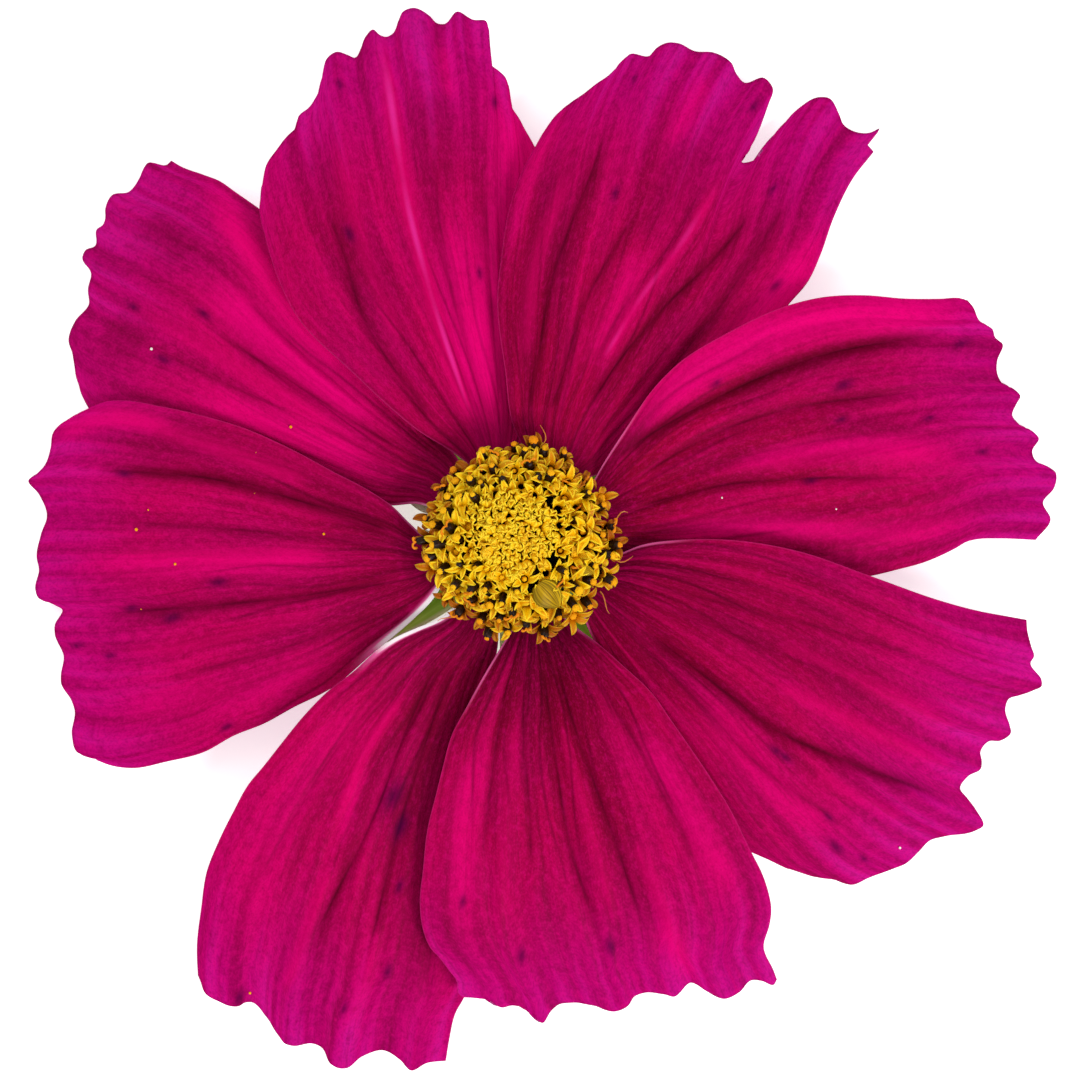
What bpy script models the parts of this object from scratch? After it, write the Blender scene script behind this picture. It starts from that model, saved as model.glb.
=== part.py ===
"""Cosmos flower head, picked with a stub of stem and lying face up on a flat surface.

The model is in metres, +Z up, and every dimension below is in millimetres and turned to metres
by MM. Flower coordinates start at the axis of the disc: x to the right, y up the page, z above
the surface. The empty flower_head carries every piece and puts the middle of the petals'
footprint at the world origin.

One solid per organ: the stem with the receptacle it widens into, eight green outer bracts, eight
papery inner bracts, eight petals (ray florets), the outer disc florets, and the packed middle of
the disc.
"""

import math

import bmesh
import bpy
import numpy as np
from mathutils import Matrix, Vector

MM = 0.001

# The disc's axis stands this far from the middle of the petals' footprint.
HEAD_OFFSET = (-1.5, -0.1)

# Stem and receptacle.
STEM_RADIUS = 1.2
FLANK_BOTTOM_Z = 1.7
LEDGE_RADIUS = 5.6
LEDGE_Z = 4.65
DRUM_RADIUS = 4.5
DRUM_TOP_Z = 5.7
TURNED_STEPS = 24

# Every piece that lies against another keeps this gap.
SEAT_GAP = 0.3

# Petals.
PETAL_THICKNESS = 0.3
CLAW_RADIUS = 4.85
CLAW_Z = LEDGE_Z + SEAT_GAP + PETAL_THICKNESS / 2
CLAW_WIDTH = 2.4
PETAL_RISE = 0.10
PETAL_ROWS = 7
EDGE_LIFT = 0.85
LIFT_START_RADIUS = 5.0
LIFT_FULL_RADIUS = 10.0
PLEAT_DEPTH = 0.22
SURFACE_SOFTNESS = 0.2

# Bracts.
BRACT_THICKNESS = 0.35
OUTER_BRACT_LENGTH = 10.0
OUTER_BRACT_WIDTH = 2.3
OUTER_BRACT_START = (3.1, 2.05)
OUTER_BRACT_ANGLES = (40.0, 82.0, 121.0, 151.0, 215.0, 268.0, 307.5, 350.0)
INNER_BRACT_LENGTH = 5.4
INNER_BRACT_WIDTH = 3.6
INNER_BRACT_START = (4.87, 3.2)

# Disc florets: (count, radius at the foot, radius at the lobes, lobe reach, height, first angle).
FLORET_RINGS = (
    (20, 4.0, 6.1, 0.78, 4.1, 4.0),
    (13, 2.9, 4.15, 0.74, 4.3, 15.0),
)
FLORET_SIDES = 10
# The packed middle: (radius, half the height of its pebbling, height over the foot) going up.
MIDDLE_HEIGHT = 4.5
MIDDLE_SIDES = 24
MIDDLE_PROFILE = (
    (1.6, 0.0, 0.05),
    (2.1, 0.0, 0.4),
    (2.55, 0.0, 2.0),
    (2.85, 0.08, 3.1),
    (2.5, 0.12, 3.7),
    (1.8, 0.12, 4.1),
    (0.9, 0.08, 4.35),
)

# Each petal: angle is the way its claw points. left and right are its side edges from the claw
# outwards, left being the anticlockwise one, and tip is the toothed end from left to right. lift
# says whether each side edge lies over (1) or under (-1) the neighbour it meets. tip_z is the
# height that the end would droop to if no surface were there to hold it up.
PETALS = {
    "petal_top": {
        "angle": 110, "lift": (1, -1), "tip_z": 0.9, "pleats": 4.5, "phase": 0.3,
        "left": [(-4.8, 5.5), (-8.0, 8.3), (-11.3, 11.2), (-14.9, 15.0), (-16.4, 18.8), (-17.3, 22.0)],
        "tip": [
            (-16.8, 25.0), (-15.6, 26.7), (-15.0, 27.3), (-14.7, 28.2), (-13.6, 29.5), (-13.0, 31.7),
            (-12.2, 32.5), (-11.0, 32.1), (-10.3, 33.5), (-9.8, 34.0), (-9.1, 33.5), (-8.6, 33.6),
            (-8.0, 34.9), (-7.2, 35.5), (-5.3, 34.3), (-4.2, 35.2), (-3.4, 34.7), (-2.3, 34.6),
            (-1.9, 31.6), (-1.0, 30.7), (-0.8, 29.3), (1.0, 26.1),
        ],
        "right": [(0.0, 7.0), (1.2, 12.0), (2.2, 18.0), (2.2, 22.5)],
    },
    "petal_top_right": {
        "angle": 62, "lift": (1, -1), "tip_z": -0.3, "pleats": 5.5, "phase": 1.2,
        "left": [
            (0.3, 6.8), (-0.7, 8.5), (-1.3, 11.0), (-1.5, 14.0), (-1.2, 18.0), (-0.4, 22.4), (1.0, 26.1),
            (3.0, 28.9), (5.0, 30.3),
        ],
        "tip": [
            (7.2, 32.3), (8.7, 32.2), (9.8, 33.1), (10.7, 33.1), (11.5, 32.6), (12.9, 32.5), (14.0, 31.9),
            (15.0, 30.5), (16.3, 30.8), (16.8, 29.9), (15.9, 27.4), (14.9, 25.1), (15.5, 25.2), (17.0, 27.2),
            (19.0, 29.3), (20.5, 29.5), (21.1, 28.9), (21.9, 27.5), (23.1, 27.2), (24.0, 27.5), (23.1, 26.8),
            (23.6, 26.0),
        ],
        "right": [
            (5.4, 4.6), (8.6, 7.4), (12.2, 10.2), (15.6, 12.9), (17.9, 15.6), (19.3, 17.3), (20.4, 20.0),
            (21.5, 23.2),
        ],
    },
    "petal_right": {
        "angle": 18, "lift": (1, -1), "tip_z": -0.2, "pleats": 5.0, "phase": 0.6,
        "left": [
            (5.1, 4.5), (6.4, 6.4), (8.2, 8.9), (10.2, 11.1), (13.3, 13.7), (17.9, 15.6), (20.5, 16.1),
            (23.5, 16.2), (26.8, 16.0),
        ],
        "tip": [
            (29.3, 16.1), (30.6, 14.6), (31.4, 14.1), (32.2, 13.0), (31.7, 11.5), (32.1, 10.5), (33.3, 9.6),
            (32.7, 8.2), (33.5, 7.6), (34.6, 6.8), (34.2, 5.5), (35.8, 4.5), (35.7, 3.6), (34.9, 2.4),
            (35.4, 1.4), (34.4, 0.0),
        ],
        "right": [
            (7.0, -0.7), (10.0, -1.6), (15.0, -2.7), (20.0, -2.9), (23.3, -2.4), (26.5, -1.6), (30.0, 0.0),
        ],
    },
    "petal_bottom_right": {
        "angle": -29, "lift": (1, -1), "tip_z": 0.4, "pleats": 5.0, "phase": 2.4,
        "left": [
            (7.2, -0.4), (9.0, -0.1), (12.0, 0.0), (16.0, -0.4), (19.5, -1.1), (23.3, -2.4), (28.0, -4.1),
        ],
        "tip": [
            (33.7, -5.3), (34.2, -7.8), (34.8, -9.6), (32.5, -10.5), (32.3, -11.5), (32.7, -13.0),
            (31.0, -13.4), (30.6, -14.0), (30.7, -15.2), (29.5, -15.8), (29.2, -16.5), (30.8, -18.9),
            (30.0, -19.5), (27.4, -20.0), (25.6, -21.6), (22.4, -22.9), (21.0, -22.5), (18.0, -21.9),
            (15.4, -20.8),
        ],
        "right": [(4.6, -6.3), (6.0, -9.2), (8.4, -13.0), (11.0, -16.8)],
    },
    "petal_bottom": {
        "angle": -76, "lift": (1, 1), "tip_z": 0.6, "pleats": 5.5, "phase": 0.9,
        "left": [
            (4.6, -6.4), (6.7, -8.3), (9.8, -11.6), (12.0, -14.9), (14.4, -18.6), (16.3, -22.5), (16.6, -25.5),
        ],
        "tip": [
            (16.2, -27.1), (17.1, -29.2), (16.7, -29.6), (15.3, -29.3), (13.6, -30.5), (11.5, -29.5),
            (10.2, -30.4), (8.4, -30.1), (7.3, -31.0), (6.4, -31.4), (4.6, -30.9), (2.6, -30.9), (1.6, -32.1),
            (0.6, -31.2), (-0.2, -31.0), (-1.2, -31.1), (-2.6, -30.5), (-3.7, -30.4),
        ],
        "right": [
            (-1.3, -7.3), (-3.0, -10.2), (-4.9, -14.6), (-6.2, -19.8), (-6.6, -23.6), (-6.2, -26.3),
            (-4.6, -28.6),
        ],
    },
    "petal_bottom_left": {
        "angle": -120, "lift": (-1, 1), "tip_z": -0.4, "pleats": 5.0, "phase": 1.8,
        "left": [(-1.6, -7.4), (-1.8, -11.0), (-2.6, -16.0), (-3.4, -22.0), (-3.7, -28.0), (-4.3, -31.7)],
        "tip": [
            (-5.0, -34.8), (-6.2, -34.9), (-7.4, -35.4), (-8.2, -34.5), (-9.1, -34.0), (-10.7, -34.6),
            (-11.8, -35.3), (-12.6, -35.1), (-13.4, -33.7), (-15.4, -33.7), (-17.0, -31.8), (-18.1, -30.8),
            (-19.4, -31.1), (-20.8, -30.5), (-21.4, -29.0),
        ],
        "right": [
            (-5.2, -5.2), (-7.2, -5.9), (-9.3, -7.2), (-12.7, -10.0), (-16.0, -13.7), (-19.0, -18.0),
            (-20.8, -22.2), (-21.4, -26.0),
        ],
    },
    "petal_left": {
        "angle": 190, "lift": (-1, 1), "tip_z": 0.5, "pleats": 4.5, "phase": 0.2,
        "left": [
            (-5.9, -3.9), (-7.9, -6.0), (-12.6, -9.9), (-16.0, -11.7), (-20.0, -13.6), (-24.0, -14.8),
        ],
        "tip": [
            (-26.6, -15.1), (-28.4, -14.4), (-29.6, -14.1), (-29.9, -13.2), (-29.7, -11.5), (-30.6, -9.3),
            (-30.3, -8.1), (-31.1, -6.0), (-30.4, -4.8), (-31.2, -4.1), (-32.2, -3.7), (-32.1, -2.1),
            (-32.3, -1.2), (-31.5, 1.6), (-32.8, 4.0), (-31.7, 4.9), (-31.2, 6.9), (-30.0, 8.1), (-28.7, 8.8),
        ],
        "right": [
            (-7.0, 1.4), (-8.4, 2.2), (-11.5, 4.0), (-15.1, 6.1), (-19.3, 7.8), (-23.0, 8.7), (-26.0, 9.2),
        ],
    },
    "petal_top_left": {
        "angle": 148, "lift": (-1, -1), "tip_z": 0.8, "pleats": 4.5, "phase": 2.7,
        "left": [(-7.0, 2.3), (-10.5, 3.2), (-15.0, 4.6), (-20.0, 6.2), (-25.0, 7.6)],
        "tip": [
            (-28.7, 8.8), (-29.7, 11.5), (-30.0, 13.6), (-29.2, 14.9), (-28.7, 15.9), (-28.6, 17.6),
            (-29.1, 18.8), (-28.4, 19.5), (-28.2, 20.7), (-27.7, 21.1), (-27.2, 23.0), (-25.9, 23.3),
            (-24.9, 25.0), (-23.7, 25.0), (-23.3, 25.3),
        ],
        "right": [
            (-4.6, 5.0), (-6.2, 7.0), (-9.0, 10.4), (-11.6, 14.0), (-14.0, 17.8), (-17.3, 22.0), (-20.0, 23.9),
        ],
    },
}

# (colour, roughness) of each material. Nothing here is metal.
FINISHES = {
    "petal": ((0.45, 0.0, 0.10), 0.55),
    "green_bract": ((0.10, 0.22, 0.04), 0.6),
    "papery_bract": ((0.42, 0.36, 0.16), 0.65),
    "stem": ((0.13, 0.26, 0.06), 0.6),
    "disc_floret": ((0.80, 0.42, 0.02), 0.6),
}


def clear_scene():
    for obj in list(bpy.data.objects):
        bpy.data.objects.remove(obj, do_unlink=True)


def make_materials():
    made = {}
    for name, (colour, roughness) in FINISHES.items():
        material = bpy.data.materials.new(name)
        material.use_nodes = True
        shader = material.node_tree.nodes["Principled BSDF"]
        shader.inputs["Base Color"].default_value = (*colour, 1.0)
        shader.inputs["Roughness"].default_value = roughness
        shader.inputs["Metallic"].default_value = 0.0
        made[name] = material
    return made


def smoothstep(x):
    t = np.clip(x, 0.0, 1.0)
    return t * t * (3 - 2 * t)


def add_object(name, mesh, material, flower):
    mesh.materials.append(material)
    mesh.shade_smooth()
    obj = bpy.data.objects.new(name, mesh)
    flower["collection"].objects.link(obj)
    obj.parent = flower["head"]
    return obj


def mesh_from(name, bm):
    bmesh.ops.recalc_face_normals(bm, faces=bm.faces)
    mesh = bpy.data.meshes.new(name)
    bm.to_mesh(mesh)
    bm.free()
    return mesh


def thicken(obj, thickness):
    shell = obj.modifiers.new("Solidify", "SOLIDIFY")
    shell.thickness = thickness * MM
    shell.offset = 0.0


def sheet_mesh(name, columns, rows, place):
    """An open grid whose point at column i and row j goes where place(i, j) says."""
    bm = bmesh.new()
    bmesh.ops.create_grid(bm, x_segments=columns - 1, y_segments=rows - 1, size=0.5)
    for vertex in bm.verts:
        i = round((vertex.co.x + 0.5) * (columns - 1))
        j = round((vertex.co.y + 0.5) * (rows - 1))
        vertex.co = Vector(place(i, j)) * MM
    return mesh_from(name, bm)


def along(points, fraction):
    """The point at this fraction of a polyline's length."""
    points = np.asarray(points, float)
    steps = np.linalg.norm(np.diff(points, axis=0), axis=1)
    lengths = np.concatenate([[0.0], np.cumsum(steps)])
    target = fraction * lengths[-1]
    return np.array([np.interp(target, lengths, points[:, axis]) for axis in (0, 1)])


def claw_corners(angle):
    """The left and right corners of the narrow end by which a petal is attached."""
    a = math.radians(angle)
    out = np.array([math.cos(a), math.sin(a)])
    across = np.array([-out[1], out[0]]) * CLAW_WIDTH / 2
    return out * CLAW_RADIUS + across, out * CLAW_RADIUS - across


def rib_shares(petal):
    """How far across the petal, from 0 at the left to 1 at the right, each tip point's rib runs."""
    tip = np.array(petal["tip"])
    left_corner, right_corner = claw_corners(petal["angle"])
    seen = tip - (left_corner + right_corner) / 2
    bearings = np.unwrap(np.arctan2(seen[:, 1], seen[:, 0]))
    shares = (bearings - bearings[0]) / (bearings[-1] - bearings[0])
    least_step = 0.004
    for k in range(1, len(shares)):
        shares[k] = max(shares[k], shares[k - 1] + least_step)
    return shares / shares[-1]


def petal_plan(petal, u, tip_point, v):
    """A Coons patch between the claw, the two side edges and the toothed tip, seen from above."""
    left_corner, right_corner = claw_corners(petal["angle"])
    left = along([left_corner, *petal["left"], petal["tip"][0]], v)
    right = along([right_corner, *petal["right"], petal["tip"][-1]], v)
    across = (1 - u) * left + u * right
    lengthwise = (1 - v) * ((1 - u) * left_corner + u * right_corner) + v * np.asarray(tip_point)
    near = (1 - v) * ((1 - u) * left_corner + u * right_corner)
    far = v * ((1 - u) * np.array(petal["tip"][0]) + u * np.array(petal["tip"][-1]))
    return across + lengthwise - near - far


def petal_height(petal, u, v, plan):
    """Height of the petal's middle surface: an arch that droops to the surface it lies on."""
    r = float(np.hypot(*plan))
    reach = float(np.hypot(*np.array(petal["tip"]).T).max()) - CLAW_RADIUS
    droop = (CLAW_Z + PETAL_RISE * reach - petal["tip_z"]) / reach**2
    out = r - CLAW_RADIUS
    height = CLAW_Z + PETAL_RISE * out - droop * out**2
    spread = smoothstep((r - LIFT_START_RADIUS) / (LIFT_FULL_RADIUS - LIFT_START_RADIUS))
    left_lift, right_lift = petal["lift"]
    height += EDGE_LIFT * spread * (left_lift * smoothstep(1 - 2 * u) + right_lift * smoothstep(2 * u - 1))
    pleat = math.cos(2 * math.pi * petal["pleats"] * u + petal["phase"])
    height += PLEAT_DEPTH * spread * pleat * (1 - (2 * u - 1) ** 2)
    lowest = PETAL_THICKNESS / 2
    return lowest + SURFACE_SOFTNESS * float(np.logaddexp(0.0, (height - lowest) / SURFACE_SOFTNESS))


def make_petal(name, petal, material, flower):
    shares = rib_shares(petal)

    def place(i, j):
        v = j / (PETAL_ROWS - 1)
        plan = petal_plan(petal, shares[i], petal["tip"][i], v)
        return (*plan, petal_height(petal, shares[i], v, plan))

    obj = add_object(name, sheet_mesh(name, len(shares), PETAL_ROWS, place), material, flower)
    thicken(obj, PETAL_THICKNESS)


def make_stem(material, flower):
    """The cut stub of stem and the receptacle that it widens into, turned about the axis."""
    top_to_bottom = [
        (0.0, DRUM_TOP_Z + 0.35),
        (DRUM_RADIUS * 0.6, DRUM_TOP_Z + 0.2),
        (DRUM_RADIUS - 0.3, DRUM_TOP_Z),
        (DRUM_RADIUS, DRUM_TOP_Z - 0.3),
        (DRUM_RADIUS, LEDGE_Z + 0.1),
        (LEDGE_RADIUS - 0.2, LEDGE_Z),
        (LEDGE_RADIUS, LEDGE_Z - 0.2),
        (LEDGE_RADIUS - 0.5, LEDGE_Z - 0.7),
        (3.6, 3.0),
        (2.2, FLANK_BOTTOM_Z + 0.5),
        (STEM_RADIUS + 0.15, FLANK_BOTTOM_Z),
        (STEM_RADIUS, 0.9),
        (STEM_RADIUS, 0.0),
        (0.0, 0.0),
    ]
    mesh = bpy.data.meshes.new("stem_and_receptacle")
    corners = [(r * MM, 0.0, z * MM) for r, z in top_to_bottom]
    mesh.from_pydata(corners, [(k, k + 1) for k in range(len(corners) - 1)], [])
    obj = add_object("stem_and_receptacle", mesh, material, flower)
    screw = obj.modifiers.new("Screw", "SCREW")
    screw.steps = screw.render_steps = TURNED_STEPS
    screw.use_merge_vertices = True
    screw.merge_threshold = 0.00001
    screw.use_smooth_shade = True


def bract_half_width(t, width, widest):
    """Half the width at t of the length, for a bract whose broadest place is at widest."""
    if t < widest:
        return width / 2 * (0.55 + 0.45 * math.sin(math.pi / 2 * t / widest))
    return width / 2 * math.cos(math.pi / 2 * (t - widest) / (1.12 - widest)) ** 0.9


def make_bract(name, angle, length, width, widest, start, rise, material, flower):
    """rise(t) is the bract's height over its foot at t of its length."""
    columns, rows = 3, 6
    turn = Matrix.Rotation(math.radians(angle), 3, "Z")

    def place(i, j):
        t = j / (rows - 1)
        across = 2 * i / (columns - 1) - 1
        half = bract_half_width(t, width, widest)
        keel = 0.12 * width * across**2 * t
        return turn @ Vector((start[0] + length * t, half * across, start[1] + rise(t) + keel))

    obj = add_object(name, sheet_mesh(name, columns, rows, place), material, flower)
    thicken(obj, BRACT_THICKNESS)


def make_bracts(materials, flower):
    """Green outer bracts stand near the gaps between petals, papery inner ones behind petals."""
    petal_angles = sorted(petal["angle"] % 360 for petal in PETALS.values())
    for k, (outer_angle, inner_angle) in enumerate(zip(OUTER_BRACT_ANGLES, petal_angles)):
        make_bract(
            f"outer_bract_{k + 1}", outer_angle, OUTER_BRACT_LENGTH, OUTER_BRACT_WIDTH, 0.3,
            OUTER_BRACT_START, lambda t: 0.9 * t - 1.9 * t * t, materials["green_bract"], flower,
        )
        make_bract(
            f"inner_bract_{k + 1}", inner_angle, INNER_BRACT_LENGTH, INNER_BRACT_WIDTH, 0.35,
            INNER_BRACT_START, lambda t: 0.55 * t, materials["papery_bract"], flower,
        )


def ball_of_rings(name, sides, bottom, rings, top):
    """A ball reshaped ring by ring: each ring is (radius on even sides, radius on odd, height)."""
    bm = bmesh.new()
    bmesh.ops.create_uvsphere(bm, u_segments=sides, v_segments=len(rings) + 1, radius=1.0)
    for vertex in bm.verts:
        x, y, z = vertex.co
        ring = round((math.asin(max(-1.0, min(1.0, z))) / math.pi + 0.5) * (len(rings) + 1)) - 1
        side = round(math.atan2(y, x) / (2 * math.pi / sides))
        if ring < 0:
            vertex.co = Vector((0, 0, bottom)) * MM
        elif ring == len(rings):
            vertex.co = Vector((0, 0, top)) * MM
        else:
            even_radius, odd_radius, height = rings[ring]
            radius = even_radius if side % 2 == 0 else odd_radius
            a = 2 * math.pi * side / sides
            vertex.co = Vector((radius * math.cos(a), radius * math.sin(a), height)) * MM
    return mesh_from(name, bm)


def floret_mesh(lobe_reach, height):
    """Ovary and tube, five spreading lobes, and the anther column with its knob of pollen."""
    rings = [
        (0.26, 0.26, 0.0),
        (0.40, 0.38, 0.58 * height),
        (lobe_reach, 0.44, 0.72 * height),
        (0.30, 0.28, 0.75 * height),
        (0.36, 0.34, 0.95 * height),
    ]
    return ball_of_rings("disc_floret", FLORET_SIDES, 0.0, rings, height)


def make_outer_florets(material, flower):
    number = 0
    for count, foot_radius, lobe_radius, lobe_reach, height, first_angle in FLORET_RINGS:
        mesh = floret_mesh(lobe_reach, height)
        lean = math.asin((lobe_radius - foot_radius) / (0.72 * height))
        foot_z = DRUM_TOP_Z + SEAT_GAP + 0.2 + 0.3 * math.sin(lean)
        for k in range(count):
            number += 1
            obj = add_object(f"disc_floret_{number:02d}", mesh.copy(), material, flower)
            turn = Matrix.Rotation(math.radians(first_angle + 360 * k / count), 4, "Z")
            where = turn @ Matrix.Translation(Vector((foot_radius, 0, foot_z)) * MM)
            obj.matrix_local = where @ Matrix.Rotation(lean, 4, "Y")


def make_middle(material, flower):
    """The packed middle of the disc: a low dome pebbled by the heads of unopened florets."""
    foot = DRUM_TOP_Z + 0.35 + SEAT_GAP
    rings = [(radius - pebble, radius + pebble, foot + z) for radius, pebble, z in MIDDLE_PROFILE]
    mesh = ball_of_rings("disc_middle", MIDDLE_SIDES, foot, rings, foot + MIDDLE_HEIGHT)
    add_object("disc_middle", mesh, material, flower)


def main():
    clear_scene()
    materials = make_materials()
    collection = bpy.data.collections.new("cosmos_flower")
    bpy.context.scene.collection.children.link(collection)
    head = bpy.data.objects.new("flower_head", None)
    head.location = Vector((*HEAD_OFFSET, 0.0)) * MM
    collection.objects.link(head)
    flower = {"collection": collection, "head": head}
    make_stem(materials["stem"], flower)
    make_bracts(materials, flower)
    for name, petal in PETALS.items():
        make_petal(name, petal, materials["petal"], flower)
    make_outer_florets(materials["disc_floret"], flower)
    make_middle(materials["disc_floret"], flower)


main()
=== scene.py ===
"""A picked cosmos flower head lying face up on a pale surface: the looks of each of its pieces.

The frame is in metres with +Z up. Shapes below are worked out in millimetres from the axis of the
disc, x to the right and y up the page, and MM and AXIS bring them into the frame.
"""

import math

import bmesh
import bpy
import numpy as np
from mathutils import Matrix, Vector


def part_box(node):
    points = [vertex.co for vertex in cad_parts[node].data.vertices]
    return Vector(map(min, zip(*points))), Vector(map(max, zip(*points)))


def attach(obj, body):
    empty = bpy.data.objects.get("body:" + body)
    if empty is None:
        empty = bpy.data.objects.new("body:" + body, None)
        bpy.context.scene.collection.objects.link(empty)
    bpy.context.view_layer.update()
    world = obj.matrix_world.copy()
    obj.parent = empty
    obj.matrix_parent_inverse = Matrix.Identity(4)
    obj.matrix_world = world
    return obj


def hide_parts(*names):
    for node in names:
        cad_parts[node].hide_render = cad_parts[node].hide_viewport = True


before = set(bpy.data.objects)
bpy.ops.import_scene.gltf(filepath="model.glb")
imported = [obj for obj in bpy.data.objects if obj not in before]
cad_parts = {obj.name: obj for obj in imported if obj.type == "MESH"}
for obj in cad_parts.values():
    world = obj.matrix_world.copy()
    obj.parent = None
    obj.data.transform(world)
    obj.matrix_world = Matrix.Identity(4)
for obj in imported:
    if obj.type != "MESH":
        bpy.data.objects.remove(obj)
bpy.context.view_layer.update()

MM = 0.001
GOLDEN_ANGLE = math.pi * (3 - math.sqrt(5))

# The disc's axis is the middle of the turned receptacle.
STEM_LOW, STEM_HIGH = (np.array(corner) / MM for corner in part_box("stem_and_receptacle"))
AXIS = ((STEM_LOW + STEM_HIGH) / 2)[:2]

# Petals, in the shape that the frame's petals have.
PETAL_COLUMNS = 230
PETAL_ROWS = 96
PETAL_THICKNESS = 0.16
CLAW_RADIUS = 4.85
CLAW_Z = 5.1
CLAW_WIDTH = 2.4
PETAL_RISE = 0.10
EDGE_LIFT = 0.85
LIFT_START_RADIUS = 5.0
LIFT_FULL_RADIUS = 10.0
SURFACE_SOFTNESS = 0.2
LOWEST_PETAL_Z = 0.15
RIB_HEIGHT = 0.035
FOLD_LINE = 0.12
RIDGE_LINE = 0.13
FOLD_POINTS = 28
TOOTH_BLUR = 1200
TOOTH_ROOT = 0.5
FOLDED_VALLEY = 0.3
PLEATS = 17
PLEAT_ENDS = (11.0, 25.0)
PLEAT_DEPTH = 0.04
CLAW_SHADE_END = 17.0
CLAW_SHADE_FADE = 11.0
RIM_FADE = 4.0

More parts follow.
